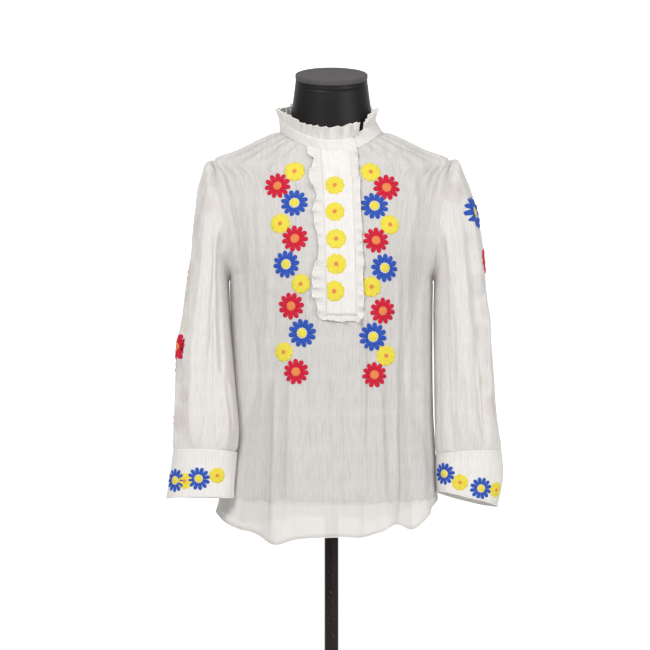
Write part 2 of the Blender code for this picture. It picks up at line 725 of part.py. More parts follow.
def make_placket_ruffle(grid, look, home):
    path = trim_path(grid)
    rows = []
    for share in (0.0, 0.5, 1.0):
        row = []
        for i, (point, way, out, width) in enumerate(path):
            wave = TRIM_WAVE * share * (i % 2)
            swell = 1 + TRIM_SWELL * (i % 2) * math.sin(i * TRIM_BEAT)
            reach = TRIM_CLEAR + width * share * swell
            row.append((point + way * reach + out * (TRIM_LIFT * share + wave), out))
        rows.append(row)
    cloth_wall("placket_ruffle", rows, COTTON, look, home)


def form_point(ring, angle):
    """Point of the dress form. angle 0 is the front and 90 degrees the right side."""
    c, s = math.cos(angle), math.sin(angle)
    depth, z_middle = (ring.front, ring.z_front) if c > 0 else (ring.back, ring.z_back)
    roll = abs(c) ** ring.flat
    return Vector(
        (
            ring.half_width * s,
            ring.y_side - depth * c,
            ring.z_side + (z_middle - ring.z_side) * roll,
        )
    )


def loft(name, rings, look, home):
    """Closed body through rings of points, with flat ends."""
    build = bmesh.new()
    made = [[build.verts.new(point) for point in ring] for ring in rings]
    count = len(rings[0])
    for low, high in zip(made, made[1:]):
        for c in range(count):
            d = (c + 1) % count
            build.faces.new((low[c], low[d], high[d], high[c]))
    build.faces.new(made[0])
    build.faces.new(made[-1])
    bmesh.ops.recalc_face_normals(build, faces=build.faces)
    mesh = bpy.data.meshes.new(name)
    build.to_mesh(mesh)
    build.free()
    mesh.shade_smooth()
    mesh.set_sharp_from_angle(angle=SHARP_EDGE)
    return add_object(name, mesh, look, home)


def make_form(look, cap_look, home):
    angles = [2 * math.pi * c / FORM_COLUMNS for c in range(FORM_COLUMNS)]
    rings = [[form_point(ring, angle) for angle in angles] for ring in FORM_RINGS]
    loft("form_torso", rings, look, home)
    top = rings[-1]
    middle = sum(top, Vector()) / len(top)
    side, back = top[FORM_COLUMNS // 4], top[FORM_COLUMNS // 2]
    up = (side - middle).cross(back - middle).normalized()

    def cap_ring(rise, growth):
        return [middle + (p - middle) * growth + up * (SEAM + rise) for p in top]

    cap_rings = [
        cap_ring(0.0, CAP_TOP_GROWTH),
        cap_ring(CAP_BEVEL, CAP_GROWTH),
        cap_ring(CAP_THICKNESS - CAP_BEVEL, CAP_GROWTH),
        cap_ring(CAP_THICKNESS, CAP_TOP_GROWTH),
    ]
    loft("form_cap", cap_rings, cap_look, home)


def make_pole(look, home):
    low, high = HUB_HEIGHT + SEAM, FORM_RINGS[0].z_front - SEAM
    bpy.ops.mesh.primitive_cylinder_add(
        vertices=POLE_SIDES, radius=POLE_RADIUS, depth=high - low, location=(0, 0, (low + high) / 2)
    )
    pole = bpy.context.object
    pole.name = "stand_pole"
    pole.data.materials.append(look)
    pole.data.shade_smooth()
    pole.data.set_sharp_from_angle(angle=SHARP_EDGE)
    for place in list(pole.users_collection):
        place.objects.unlink(pole)
    home.objects.link(pole)


def make_base(look, home):
    mesh = bpy.data.meshes.new("stand_base")
    points = [(x, 0.0, z) for x, z in BASE_PROFILE]
    mesh.from_pydata(points, [(i, i + 1) for i in range(len(points) - 1)], [])
    base = add_object("stand_base", mesh, look, home)
    turned = base.modifiers.new("turned", "SCREW")
    turned.steps = turned.render_steps = BASE_SIDES
    turned.use_merge_vertices = True
    turned.merge_threshold = 0.0001
    turned.use_smooth_shade = False


def main():
    clear_scene()
    home = collection()
    cotton = material("crinkled_cotton", COTTON_WHITE)
    form_black = material("form_black", FORM_BLACK)
    cap_grey = material("cap_grey", CAP_GREY)
    pole_black = material("pole_black", POLE_BLACK)

    make_panel("front", 1, cotton, home)
    make_panel("back", -1, cotton, home)
    right = make_sleeve("sleeve_right", RIGHT_SLEEVE, RIGHT_CREASES, 1, cotton, home)
    left = make_sleeve("sleeve_left", LEFT_SLEEVE, LEFT_CREASES, -1, cotton, home)
    make_cuff("cuff_right", RIGHT_CUFF, 1, *right, cotton, home)
    make_cuff("cuff_left", LEFT_CUFF, -1, *left, cotton, home)
    make_collar_ruffle(make_collar(cotton, home), cotton, home)
    make_placket_ruffle(make_placket(cotton, home), cotton, home)
    make_form(form_black, cap_grey, home)
    make_pole(pole_black, home)
    make_base(pole_black, home)


if __name__ == "__main__":
    main()
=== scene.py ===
"""Looks of a blouse of sheer crinkled cotton with embroidered flowers, on a limbless dress form."""

import math
from collections import namedtuple

import bmesh
import bpy
import numpy as np
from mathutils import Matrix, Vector


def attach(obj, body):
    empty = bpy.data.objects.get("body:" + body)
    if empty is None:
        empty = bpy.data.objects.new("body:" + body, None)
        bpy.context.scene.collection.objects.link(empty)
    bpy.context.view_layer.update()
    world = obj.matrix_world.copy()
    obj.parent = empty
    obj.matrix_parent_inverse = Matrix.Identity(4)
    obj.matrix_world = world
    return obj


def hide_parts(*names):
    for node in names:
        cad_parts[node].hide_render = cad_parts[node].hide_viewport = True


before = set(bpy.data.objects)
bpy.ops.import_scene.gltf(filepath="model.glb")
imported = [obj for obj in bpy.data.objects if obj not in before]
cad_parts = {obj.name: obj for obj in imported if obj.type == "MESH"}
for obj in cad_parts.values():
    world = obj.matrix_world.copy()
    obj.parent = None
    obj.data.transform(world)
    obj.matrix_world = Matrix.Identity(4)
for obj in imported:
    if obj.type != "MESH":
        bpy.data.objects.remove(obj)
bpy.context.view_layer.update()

bl_info = {
    "name": "Blouse on a dress form",
    "version": (1, 0, 0),
    "blender": (4, 5, 0),
    "location": "3D View > Sidebar > Blouse",
    "description": "Makes the cloth, embroidery, seams, dress form and stage",
    "category": "Object",
}

ROOT = "root"


def table(kind, *rows):
    """Rows of a table as tuples with named columns."""
    return tuple(kind(*row) for row in rows)


# Body of the blouse: one row for each level, hem first. Front and back share their side line.
Level = namedtuple(
    "Level", "z_front y_front x_side z_side open_front open_back z_back y_back shift"
)
LEVELS = table(
    Level,
    (0.681, 0.1300, 0.1790, 0.7205, 0.000, 0.000, 0.682, 0.1340, 0.006),
    (0.755, 0.1270, 0.1765, 0.782, 0.000, 0.000, 0.757, 0.1340, 0.008),
    (0.858, 0.1245, 0.1715, 0.872, 0.000, 0.000, 0.860, 0.1270, 0.012),
    (0.950, 0.1255, 0.1700, 0.955, 0.000, 0.000, 0.950, 0.1190, 0.015),
    (1.041, 0.1290, 0.1700, 1.035, 0.000, 0.000, 1.034, 0.1140, 0.016),
    (1.085, 0.1310, 0.1705, 1.074, 0.000, 0.000, 1.076, 0.1130, 0.016),
    (1.114, 0.1300, 0.1712, 1.103, 0.000, 0.000, 1.108, 0.1135, 0.015),
    (1.132, 0.1280, 0.1722, 1.114, 0.027, 0.028, 1.126, 0.1140, 0.015),
    (1.158, 0.1235, 0.1742, 1.139, 0.046, 0.048, 1.158, 0.1150, 0.014),
    (1.188, 0.1160, 0.1775, 1.176, 0.057, 0.059, 1.200, 0.1155, 0.013),
    (1.217, 0.1080, 0.1835, 1.214, 0.056, 0.058, 1.242, 0.1130, 0.012),
    (1.243, 0.1000, 0.1900, 1.252, 0.044, 0.046, 1.280, 0.1070, 0.011),
    (1.261, 0.0945, 0.1955, 1.282, 0.025, 0.027, 1.305, 0.1010, 0.010),
    (1.273, 0.0905, 0.1990, 1.3045, 0.000, 0.000, 1.320, 0.0955, 0.009),
    (1.286, 0.0860, 0.1590, 1.3200, 0.000, 0.000, 1.340, 0.0870, 0.008),
    (1.298, 0.0822, 0.1220, 1.3375, 0.000, 0.000, 1.358, 0.0780, 0.007),
    (1.306, 0.0799, 0.0990, 1.3470, 0.000, 0.000, 1.371, 0.0710, 0.007),
    (1.311, 0.0782, 0.0870, 1.3515, 0.000, 0.000, 1.379, 0.0665, 0.007),
)
SEAM = 0.0003
COTTON = 0.0014
LAP = 0.0023
PLACKET_FOOT = 4
ARMPIT = 6
HIGHEST = float(len(LEVELS) - 1)
NECK_GATHER = 0.0030
FINE_NECK_GATHER = 0.0009
EDGE_COLUMN = 18
PLACKET_COLUMN = 3
PLACKET_HALF_WIDTH = 0.024
ARMHOLE_PLACES = (6, 7, 7.5, 8, 8.5, 9, 9.5, 10, 10.5, 11, 11.5, 12, 13)

# Hanging folds: angle round the half body, width, how far they stand out at the hem, fading height
Fold = namedtuple("Fold", "angle width stands_out fades")
FRONT_FOLDS = table(
    Fold,
    (-63, 9, 0.0060, 0.90),
    (-45, 8, -0.0070, 1.02),
    (-27, 9, 0.0150, 1.08),
    (-9, 8, -0.0060, 0.95),
    (8, 9, 0.0060, 0.90),
    (19, 5, -0.0070, 0.98),
    (28, 7, 0.0090, 1.00),
    (42, 6, -0.0060, 1.04),
    (57, 8, 0.0110, 0.98),
)
BACK_FOLDS = table(
    Fold,
    (-60, 9, 0.0100, 0.95),
    (-42, 7, -0.0060, 1.00),
    (-24, 9, 0.0130, 1.06),
    (-7, 8, -0.0070, 0.98),
    (11, 9, 0.0110, 1.02),
    (28, 7, -0.0060, 0.96),
    (45, 8, 0.0120, 1.04),
    (63, 8, -0.0050, 0.92),
)
FOLD_FREE_SIDE = (62.0, 76.0)
HemWave = namedtuple("HemWave", "angle width drop")
FRONT_HEM = table(
    HemWave,
    (-44, 6, -0.0030),
    (-28, 7, 0.0110),
    (14, 7, 0.0040),
    (33, 7, -0.0090),
    (48, 7, 0.0120),
)
BACK_HEM = table(
    HemWave,
    (-50, 10, 0.0080),
    (-14, 9, -0.0070),
    (22, 10, 0.0080),
    (55, 9, -0.0050),
)
HEM_REACH = 0.045
HEM_TILT = 0.058
HEM_SQUARENESS = 2.0
LEFT_FLARE = 0.09
FLARE_FROM = 2.0

# Sleeves and cuffs: the outer and inner point of each ring, how far its middle hangs forward, its
# half depth, and how much lower its back is than its front.
Ring = namedtuple("Ring", "x_out z_out x_in z_in forward half_depth lean")
RIGHT_SLEEVE = table(
    Ring,
    (0.2150, 1.3030, 0.1752, 1.0985, 0.000, 0.0625, 0.00),
    (0.2300, 1.2640, 0.1752, 1.0890, 0.001, 0.0650, 0.00),
    (0.2415, 1.2280, 0.1748, 1.0720, 0.003, 0.0665, 0.00),
    (0.2495, 1.1860, 0.1740, 1.0490, 0.005, 0.0660, 0.02),
    (0.2570, 1.1350, 0.1740, 1.0220, 0.008, 0.0640, 0.03),
    (0.2605, 1.0850, 0.1740, 0.9920, 0.011, 0.0620, 0.05),
    (0.2670, 1.0370, 0.1745, 0.9590, 0.014, 0.0600, 0.07),
    (0.2690, 0.9900, 0.1750, 0.9250, 0.017, 0.0585, 0.09),
    (0.2715, 0.9430, 0.1755, 0.8920, 0.020, 0.0570, 0.11),
    (0.2735, 0.8950, 0.1765, 0.8600, 0.023, 0.0540, 0.13),
    (0.2785, 0.8500, 0.1775, 0.8310, 0.026, 0.0490, 0.15),
    (0.2850, 0.8120, 0.1785, 0.8070, 0.028, 0.0400, 0.18),
)
LEFT_SLEEVE = table(
    Ring,
    (0.2120, 1.2990, 0.1752, 1.0985, 0.000, 0.0635, 0.00),
    (0.2220, 1.2640, 0.1750, 1.0890, 0.003, 0.0660, 0.00),
    (0.2270, 1.2280, 0.1742, 1.0720, 0.007, 0.0670, 0.02),
    (0.2325, 1.1860, 0.1730, 1.0490, 0.013, 0.0660, 0.03),
    (0.2375, 1.1350, 0.1710, 1.0220, 0.021, 0.0640, 0.04),
    (0.2450, 1.0850, 0.1680, 0.9920, 0.030, 0.0610, 0.05),
    (0.2500, 1.0370, 0.1650, 0.9590, 0.038, 0.0580, 0.07),
    (0.2580, 0.9900, 0.1620, 0.9250, 0.046, 0.0550, 0.09),
    (0.2590, 0.9430, 0.1590, 0.8920, 0.052, 0.0520, 0.11),
    (0.2590, 0.8950, 0.1570, 0.8610, 0.057, 0.0490, 0.13),
    (0.2605, 0.8520, 0.1565, 0.8350, 0.061, 0.0450, 0.15),
    (0.2620, 0.8170, 0.1600, 0.8130, 0.064, 0.0380, 0.18),
)
RIGHT_CUFF = table(
    Ring,
    (0.2870, 0.7680, 0.1785, 0.7770, 0.030, 0.0350, 0.20),
    (0.2780, 0.7210, 0.1800, 0.7440, 0.032, 0.0345, 0.22),
)
LEFT_CUFF = table(
    Ring,
    (0.2675, 0.7780, 0.1630, 0.7750, 0.066, 0.0330, 0.20),
    (0.2735, 0.7400, 0.1640, 0.7370, 0.068, 0.0330, 0.22),
)
RING_COLUMNS = 24
TURNED_DOWN = (1.4, 3.2)
SLEEVE_CLEAR_OF_BODY = 0.0023
BODY_ENVELOPE_TOP = 1.100
EVEN_FROM_RING = 5
SLEEVE_HEAD_GATHER = 0.0016
HEAD_GATHER_REACH = 1.6
CUFF_GATHER = 0.0030
SMALL_CUFF_GATHER = 0.0008
CUFF_GATHER_REACH = 4
CUFF_START = 10
CUFF_LAP_COLUMNS = 3
CUFF_LAP_RISE = 3

# Long folds of the sleeves: angle from the outer line towards the front, width, depth
Crease = namedtuple("Crease", "angle width depth")
RIGHT_CREASES = table(
    Crease,
    (38, 11, 0.0040),
    (62, 10, -0.0050),
    (90, 13, 0.0050),
    (122, 10, -0.0040),
    (215, 14, 0.0040),
    (250, 12, -0.0040),
    (290, 14, 0.0045),
)
LEFT_CREASES = table(
    Crease,
    (42, 11, -0.0050),
    (70, 13, 0.0045),
    (103, 10, -0.0040),
    (132, 10, 0.0030),
    (225, 14, 0.0040),
    (262, 12, -0.0040),
    (300, 14, 0.0045),
)
CREASE_GROWS_OVER = 3
CREASE_FADES_OVER = 1.2

# Stand collar and its ruffle
COLLAR_LEAN = np.array((0.0, -0.30, 0.954))
COLLAR_MIDDLE = np.array((0.0, -0.004, 0.0))
COLLAR_ROWS = ((0.0060, 0.975, -0.002), (0.0195, 0.935, -0.007))
COLLAR_OPENS_FROM = 2
RUFFLE_STARTS_AT = 6
JUST_BELOW = 0.3

# Ruffle round the placket: height and width along its left side
TRIM_LEFT = (
    (1.050, 0.0120),
    (1.068, 0.0200),
    (1.088, 0.0220),
    (1.110, 0.0215),
    (1.130, 0.0125),
    (1.152, 0.0080),
    (1.180, 0.0125),
    (1.197, 0.0160),
    (1.214, 0.0190),
    (1.236, 0.0095),
    (1.250, 0.0160),
    (1.268, 0.0230),
    (1.284, 0.0160),
    (1.296, 0.0115),
    (1.306, 0.0200),
)
TRIM_WIDTH_RIGHT = 0.0110
TRIM_WIDTH_FOOT = 0.0085

# Single creases of the cloth, listed one by one. On a panel, start and end are x and z; on a sleeve
# they are the angle from the outer line in degrees, and z. bow bends the crease sideways.
Line = namedtuple("Line", "start end bow width height")
FRONT_LINES = table(
    Line,
    ((-0.082, 1.336), (-0.136, 1.245), -0.014, 0.0034, 0.0019),
    ((-0.096, 1.338), (-0.170, 1.278), -0.008, 0.0034, 0.0016),
    ((-0.072, 1.322), (-0.104, 1.215), -0.010, 0.0034, 0.0014),
    ((-0.188, 1.232), (-0.168, 1.150), 0.006, 0.0050, 0.0022),
    ((-0.176, 1.215), (-0.152, 1.120), 0.006, 0.0040, -0.0016),
    ((-0.120, 1.255), (-0.112, 1.105), 0.003, 0.0034, 0.0012),
    ((-0.134, 1.190), (-0.128, 0.980), 0.004, 0.0045, 0.0013),
    ((-0.150, 1.120), (-0.149, 0.930), -0.003, 0.0040, 0.0012),
    ((-0.100, 1.150), (-0.104, 0.900), 0.003, 0.0036, 0.0013),
    ((-0.116, 1.060), (-0.120, 0.760), -0.003, 0.0042, 0.0014),
    ((-0.040, 1.120), (-0.034, 0.930), 0.002, 0.0032, 0.0010),
    ((-0.090, 0.960), (-0.093, 0.672), 0.001, 0.0040, 0.0026),
    ((-0.064, 0.980), (-0.066, 0.672), 0.001, 0.0036, 0.0022),
    ((-0.102, 0.930), (-0.103, 0.690), 0.001, 0.0040, -0.0028),
    ((-0.030, 1.010), (-0.024, 0.680), 0.002, 0.0038, 0.0014),
    ((-0.004, 1.030), (0.004, 0.690), -0.002, 0.0034, 0.0012),
    ((0.020, 1.000), (0.026, 0.680), 0.002, 0.0034, 0.0013),
    ((0.053, 1.075), (0.052, 0.800), 0.001, 0.0030, 0.0026),
    ((0.046, 1.055), (0.046, 0.850), 0.001, 0.0030, -0.0014),
    ((0.076, 1.000), (0.078, 0.680), -0.002, 0.0040, 0.0016),
    ((0.092, 0.940), (0.094, 0.700), 0.001, 0.0050, -0.0030),
    ((0.104, 1.020), (0.110, 0.680), 0.002, 0.0036, 0.0020),
    ((0.126, 1.060), (0.132, 0.700), 0.002, 0.0044, 0.0014),
    ((0.148, 1.110), (0.152, 0.820), 0.002, 0.0040, 0.0013),
    ((0.084, 1.340), (0.134, 1.180), -0.024, 0.0038, 0.0019),
    ((0.074, 1.326), (0.098, 1.205), -0.012, 0.0032, 0.0013),
    ((0.100, 1.336), (0.166, 1.252), -0.010, 0.0036, 0.0014),
    ((0.132, 1.200), (0.126, 1.000), 0.004, 0.0038, 0.0013),
    ((0.184, 1.210), (0.166, 1.130), -0.006, 0.0046, 0.0020),
    ((0.110, 1.130), (0.108, 0.960), 0.002, 0.0034, 0.0012),
    ((0.058, 1.170), (0.056, 1.080), 0.001, 0.0030, 0.0010),
)
BAND_EDGE, BAND_FADES_OVER = 0.002, 0.05
# Folds that lay the cloth double: width is half the band and height how strongly it is marked.
# The mark raises the opacity and darkens the colour as painted shade.
DOUBLED_FRONT = table(
    Line,
    ((-0.082, 0.860), (-0.077, 0.640), 0, 0.0165, 0.66),
    ((0.104, 0.800), (0.110, 0.640), 0, 0.0080, 0.56),
    ((-0.158, 0.780), (-0.150, 0.640), 0, 0.0090, 0.50),
)
DOUBLED_BACK = table(
    Line,
    ((-0.052, 0.860), (-0.058, 0.640), 0, 0.0120, 0.70),
    ((0.086, 0.800), (0.092, 0.640), 0, 0.0100, 0.60),
)
BACK_LINES = table(
    Line,
    ((-0.080, 1.350), (-0.125, 1.240), -0.012, 0.0032, 0.0016),
    ((0.078, 1.352), (0.128, 1.236), 0.012, 0.0032, 0.0016),
    ((-0.180, 1.215), (-0.158, 1.110), 0.006, 0.0046, 0.0022),
    ((0.182, 1.220), (0.160, 1.105), -0.006, 0.0046, 0.0022),
    ((-0.132, 1.190), (-0.136, 0.860), 0.004, 0.0042, 0.0014),
    ((-0.094, 1.160), (-0.098, 0.740), -0.003, 0.0040, 0.0018),
    ((-0.052, 1.240), (-0.056, 0.900), 0.002, 0.0036, 0.0013),
    ((-0.018, 1.190), (-0.020, 0.690), 0.002, 0.0038, 0.0016),
    ((0.022, 1.230), (0.020, 0.820), -0.002, 0.0036, 0.0014),
    ((0.060, 1.180), (0.064, 0.690), 0.003, 0.0040, 0.0018),
    ((0.098, 1.200), (0.104, 0.880), 0.003, 0.0038, 0.0013),
    ((0.138, 1.150), (0.140, 0.720), -0.003, 0.0044, 0.0016),
)
RIGHT_SLEEVE_LINES = table(
    Line,
    ((12, 1.290), (26, 1.120), 0.010, 0.0034, 0.0014),
    ((48, 1.250), (54, 1.020), 0.006, 0.0040, 0.0016),
    ((78, 1.220), (74, 0.960), -0.006, 0.0044, 0.0018),
    ((104, 1.150), (108, 0.900), 0.004, 0.0040, 0.0016),
    ((26, 1.080), (22, 0.850), 0.004, 0.0036, 0.0014),
    ((64, 0.980), (58, 0.830), -0.003, 0.0034, 0.0018),
    ((90, 0.960), (92, 0.826), 0.003, 0.0034, 0.0018),
    ((128, 1.050), (120, 0.840), 0.004, 0.0034, 0.0014),
    ((94, 1.262), (116, 0.920), -0.006, 0.0042, 0.0024),
    ((70, 1.250), (86, 1.060), -0.004, 0.0036, -0.0020),
    ((40, 1.120), (44, 0.850), 0.004, 0.0040, 0.0020),
    ((336, 1.230), (330, 0.930), -0.006, 0.0040, 0.0015),
    ((304, 1.200), (312, 0.880), 0.005, 0.0040, 0.0015),
    ((272, 1.160), (268, 0.860), 0.004, 0.0042, 0.0016),
    ((236, 1.120), (230, 0.850), -0.004, 0.0040, 0.0014),
)
LEFT_SLEEVE_LINES = table(
    Line,
    ((18, 1.285), (30, 1.130), 0.008, 0.0034, 0.0014),
    ((56, 1.240), (58, 1.000), 0.006, 0.0040, 0.0018),
    ((84, 1.230), (88, 0.930), -0.006, 0.0044, 0.0018),
    ((112, 1.130), (116, 0.880), 0.005, 0.0040, 0.0016),
    ((28, 1.060), (20, 0.860), -0.004, 0.0036, 0.0015),
    ((128, 0.960), (132, 0.836), 0.003, 0.0034, 0.0024),
    ((144, 0.940), (146, 0.838), 0.002, 0.0030, 0.0022),
    ((100, 0.950), (104, 0.834), -0.002, 0.0030, 0.0016),
    ((66, 0.940), (64, 0.836), 0.002, 0.0034, 0.0016),
    ((98, 1.262), (122, 0.905), 0.006, 0.0040, 0.0024),
    ((110, 1.225), (134, 0.880), 0.004, 0.0034, -0.0020),
    ((46, 1.150), (44, 0.850), -0.004, 0.0040, 0.0020),
    ((74, 1.120), (76, 0.850), 0.003, 0.0034, -0.0016),
    ((340, 1.220), (332, 0.920), -0.006, 0.0040, 0.0015),
    ((300, 1.190), (306, 0.880), 0.005, 0.0040, 0.0015),
    ((258, 1.150), (262, 0.870), 0.004, 0.0042, 0.0016),
)
DEGREE_ON_SLEEVE = 0.0011
CREASE_WIDTH = 1.6
CREASE_HEIGHT = 1.8
# Opacity mark of the hem, which hangs free of the form, and the height where it starts. The mark
# also darkens the cloth's colour there as painted shade
HEM_OPACITY_AND_SHADE, HEM_OPACITY_AND_SHADE_FROM = 0.95, 0.742

# Dress form: rings from the open hip to the top of the neck
FormRing = namedtuple("FormRing", "half_width z_side y_side front z_front back z_back flat")
FORM_RINGS = table(
    FormRing,
    (0.1630, 0.7270, 0.0000, 0.1070, 0.727, 0.1160, 0.727, 1.0),
    (0.1660, 0.7700, 0.0000, 0.1090, 0.770, 0.1210, 0.770, 1.0),
    (0.1590, 0.8300, 0.0000, 0.1040, 0.830, 0.1120, 0.830, 1.0),
    (0.1380, 0.8800, 0.0000, 0.0920, 0.880, 0.0930, 0.880, 1.0),
    (0.1240, 0.9300, 0.0000, 0.0840, 0.930, 0.0820, 0.930, 1.0),
    (0.1290, 0.9900, 0.0000, 0.0940, 0.993, 0.0850, 0.990, 1.0),
    (0.1440, 1.0580, 0.0000, 0.1180, 1.068, 0.0950, 1.058, 1.0),
    (0.1530, 1.1160, 0.0000, 0.1200, 1.125, 0.1010, 1.119, 1.2),
    (0.1620, 1.1720, 0.0000, 0.1060, 1.176, 0.1050, 1.184, 1.5),
    (0.1730, 1.2290, 0.0000, 0.0910, 1.222, 0.1010, 1.244, 1.8),
    (0.1815, 1.2660, 0.0000, 0.0840, 1.247, 0.0940, 1.285, 2.0),
    (0.1835, 1.2910, 0.0000, 0.0810, 1.262, 0.0880, 1.306, 2.0),
    (0.1720, 1.3085, 0.0000, 0.0780, 1.273, 0.0820, 1.320, 2.0),
    (0.1400, 1.3283, 0.0000, 0.0750, 1.288, 0.0750, 1.340, 2.0),
    (0.1100, 1.3418, 0.0000, 0.0720, 1.299, 0.0680, 1.354, 2.0),
    (0.0865, 1.3505, 0.0000, 0.0680, 1.309, 0.0600, 1.368, 1.8),
    (0.0755, 1.3610, -0.0020, 0.0620, 1.322, 0.0540, 1.380, 1.5),
    (0.0700, 1.3780, -0.0040, 0.0580, 1.343, 0.0520, 1.397, 1.2),
    (0.0655, 1.4030, -0.0070, 0.0560, 1.375, 0.0515, 1.420, 1.0),
    (0.0605, 1.4415, -0.0100, 0.0560, 1.4215, 0.0560, 1.4615, 1.0),
)
Groove = namedtuple("Groove", "place width depth")
NECK_GROOVE = Groove(18.77, 0.022, 0.0012)
CAP_PROFILE = (
    (0.300, 0.0000),
    (0.980, 0.0000),
    (1.000, 0.0004),
    (1.010, 0.0012),
    (1.012, 0.0022),
    (1.012, 0.0064),
    (1.010, 0.0074),
    (1.001, 0.0081),
    (0.986, 0.0085),
    (0.960, 0.0084),
    (0.300, 0.0086),
    (0.020, 0.0087),
)
POLE_RADIUS = 0.012
HUB_HEIGHT = 0.034

# Flowers: kind, x and height of each on the front
Bloom = namedtuple("Bloom", "kind x z")
FRONT_BLOOMS = table(
    Bloom,
    ("yellow", -0.061, 1.278),
    ("red", -0.089, 1.254),
    ("blue", -0.061, 1.225),
    ("yellow", -0.084, 1.191),
    ("red", -0.060, 1.166),
    ("blue", -0.074, 1.124),
    ("yellow", -0.050, 1.092),
    ("red", -0.066, 1.056),
    ("blue", -0.048, 1.012),
    ("yellow", -0.078, 0.981),
    ("red", -0.058, 0.949),
    ("yellow", 0.064, 1.277),
    ("red", 0.090, 1.251),
    ("blue", 0.070, 1.220),
    ("yellow", 0.095, 1.189),
    ("red", 0.072, 1.163),
    ("blue", 0.086, 1.118),
    ("yellow", 0.064, 1.087),
    ("red", 0.083, 1.048),
    ("blue", 0.067, 1.006),
    ("yellow", 0.088, 0.975),
    ("red", 0.069, 0.944),
)
PLACKET_BLOOMS = table(
    Bloom,
    ("yellow", 0.005, 1.254),
    ("yellow", 0.005, 1.210),
    ("yellow", 0.007, 1.165),
    ("yellow", 0.007, 1.124),
    ("yellow", 0.004, 1.080),
)
SLEEVE_FLOWERS = {
    "right": (1.2945, {2: (21.0, 1.24), 4: (14.0, 1.0)}),
    "left": (1.2720, {7: (24.0, 1.0)}),
}
SLEEVE_FLOWER_BEHIND = (-22.0, -38.0)
SLEEVE_FLOWER_COUNT = 11
SLEEVE_FLOWER_SPACING = 0.0405
CUFF_FLOWER_SHARE = 0.82
CUFF_FLOWERS = {
    "left": (
        table(
            Bloom,
            ("yellow", -0.1884, 0.7780),
            ("blue", -0.2182, 0.7730),
            ("yellow", -0.2410, 0.7690),
            ("blue", -0.2575, 0.7690),
        ),
        (1.8, 4.0, 6.2, 8.4, 10.6, 12.8),
    ),
    "right": (
        table(
            Bloom,
            ("blue", 0.1884, 0.7770),
            ("yellow", 0.2135, 0.7636),
            ("blue", 0.2480, 0.7535),
            ("yellow", 0.2735, 0.7500),
        ),
        (3.4, 5.8, 8.2, 10.6),
    ),
}
PETAL_WIDEST = 0.70
PAD_SINKS = 0.0009
EMBROIDERY_LIFT = 0.0010
THREADS = ("thread_yellow", "thread_red", "thread_blue", "thread_orange", "thread_pale")
YELLOW, RED, BLUE, ORANGE, PALE = range(5)

# Thickness of the doubled cloth
DOUBLED_THICKNESS = 0.0009


def between(knots, place):
    """Smooth curves through rows of knots, read at places between them."""
    last = len(knots) - 1
    at = np.clip(np.floor(place), 0, last - 1).astype(int)
    a, b, c, d = (knots[np.clip(at + k, 0, last)] for k in (-1, 0, 1, 2))
    f = np.reshape(place - at, np.shape(place) + (1,) * (knots.ndim - 1))
    return b + 0.5 * f * (c - a + f * (2 * a - 5 * b + 4 * c - d + f * (3 * (b - c) + d - a)))


def read_table(rows, place):
    """A row of a table at places between its rows, each column an array."""
    read = between(np.array(rows, dtype=float), np.asarray(place, dtype=float))
    return type(rows[0])(*np.moveaxis(read, -1, 0))


def smooth_step(low, high, value):
    share = np.clip((value - low) / (high - low), 0.0, 1.0)
    return share * share * (3 - 2 * share)


def unit(vectors):
    return vectors / np.maximum(np.linalg.norm(vectors, axis=-1, keepdims=True), 1e-12)


def dot(a, b):
    return np.sum(a * b, axis=-1)


def waves(turns):
    """Waves between 0 and 1, one for each two units."""
    return 0.5 - 0.5 * np.cos(np.pi * turns)


def bells(rows, degrees, size):
    """Sum of the rows' bell curves over the angles."""
    return sum(
        getattr(row, size) * np.exp(-(((degrees - row.angle) / row.width) ** 2)) for row in rows
    )


def noise(across, along, seed):
    """Smooth uneven values between -1 and 1 on a seeded lattice, one cell for each unit."""
    lattice = np.random.default_rng(seed).uniform(-1, 1, (64, 64))
    a, b = np.broadcast_arrays(across, along)
    i, j = np.floor(a).astype(int), np.floor(b).astype(int)
    f, g = a - i, b - j
    f, g = f * f * (3 - 2 * f), g * g * (3 - 2 * g)
    low = lattice[i % 64, j % 64] * (1 - f) + lattice[(i + 1) % 64, j % 64] * f
    high = lattice[i % 64, (j + 1) % 64] * (1 - f) + lattice[(i + 1) % 64, (j + 1) % 64] * f
    return low * (1 - g) + high * g


def crinkles(across, along, spacing, seed):
    """Long narrow creases of crinkled gauze, between 0 and 1: across and along are in metres."""
    wander = 0.30 * noise(across / (spacing * 9), along / (spacing * 30), seed + 7)
    broad = noise(across / spacing + wander, along / (spacing * 17), seed)
    swell = 0.6 + 0.4 * noise(across / (spacing * 4), along / (spacing * 11), seed + 3)
    ridge = 1 - np.abs(broad)
    return ridge * ridge * swell


def of_side(level, side, name):
    """The front's value of a level for side 1, the back's for side -1."""
    return getattr(level, name + ("_front" if side > 0 else "_back"))


def edge_angle(level, side):
    """The section's angle at the panel's edge, where it meets the seam or the armhole."""
    opening = np.maximum(of_side(level, side, "open"), SEAM / 2)
    return np.arccos(opening / of_side(level, side, "y"))


def column_angle(level, side, column):
    edge = edge_angle(level, side)
    reach = level.x_side / np.sin(edge)
    count = np.abs(column)
    inner = np.arcsin(np.minimum(PLACKET_HALF_WIDTH * count / PLACKET_COLUMN / reach, 1))
    start = np.arcsin(PLACKET_HALF_WIDTH / reach)
    share = (count - PLACKET_COLUMN) / (EDGE_COLUMN - PLACKET_COLUMN)
    outer = start + (edge - start) * share
    return np.sign(column) * np.where(count <= PLACKET_COLUMN, inner, outer)


def flare(share, low):
    return np.where(share < 0, 1 + LEFT_FLARE * low * low, 1.0)


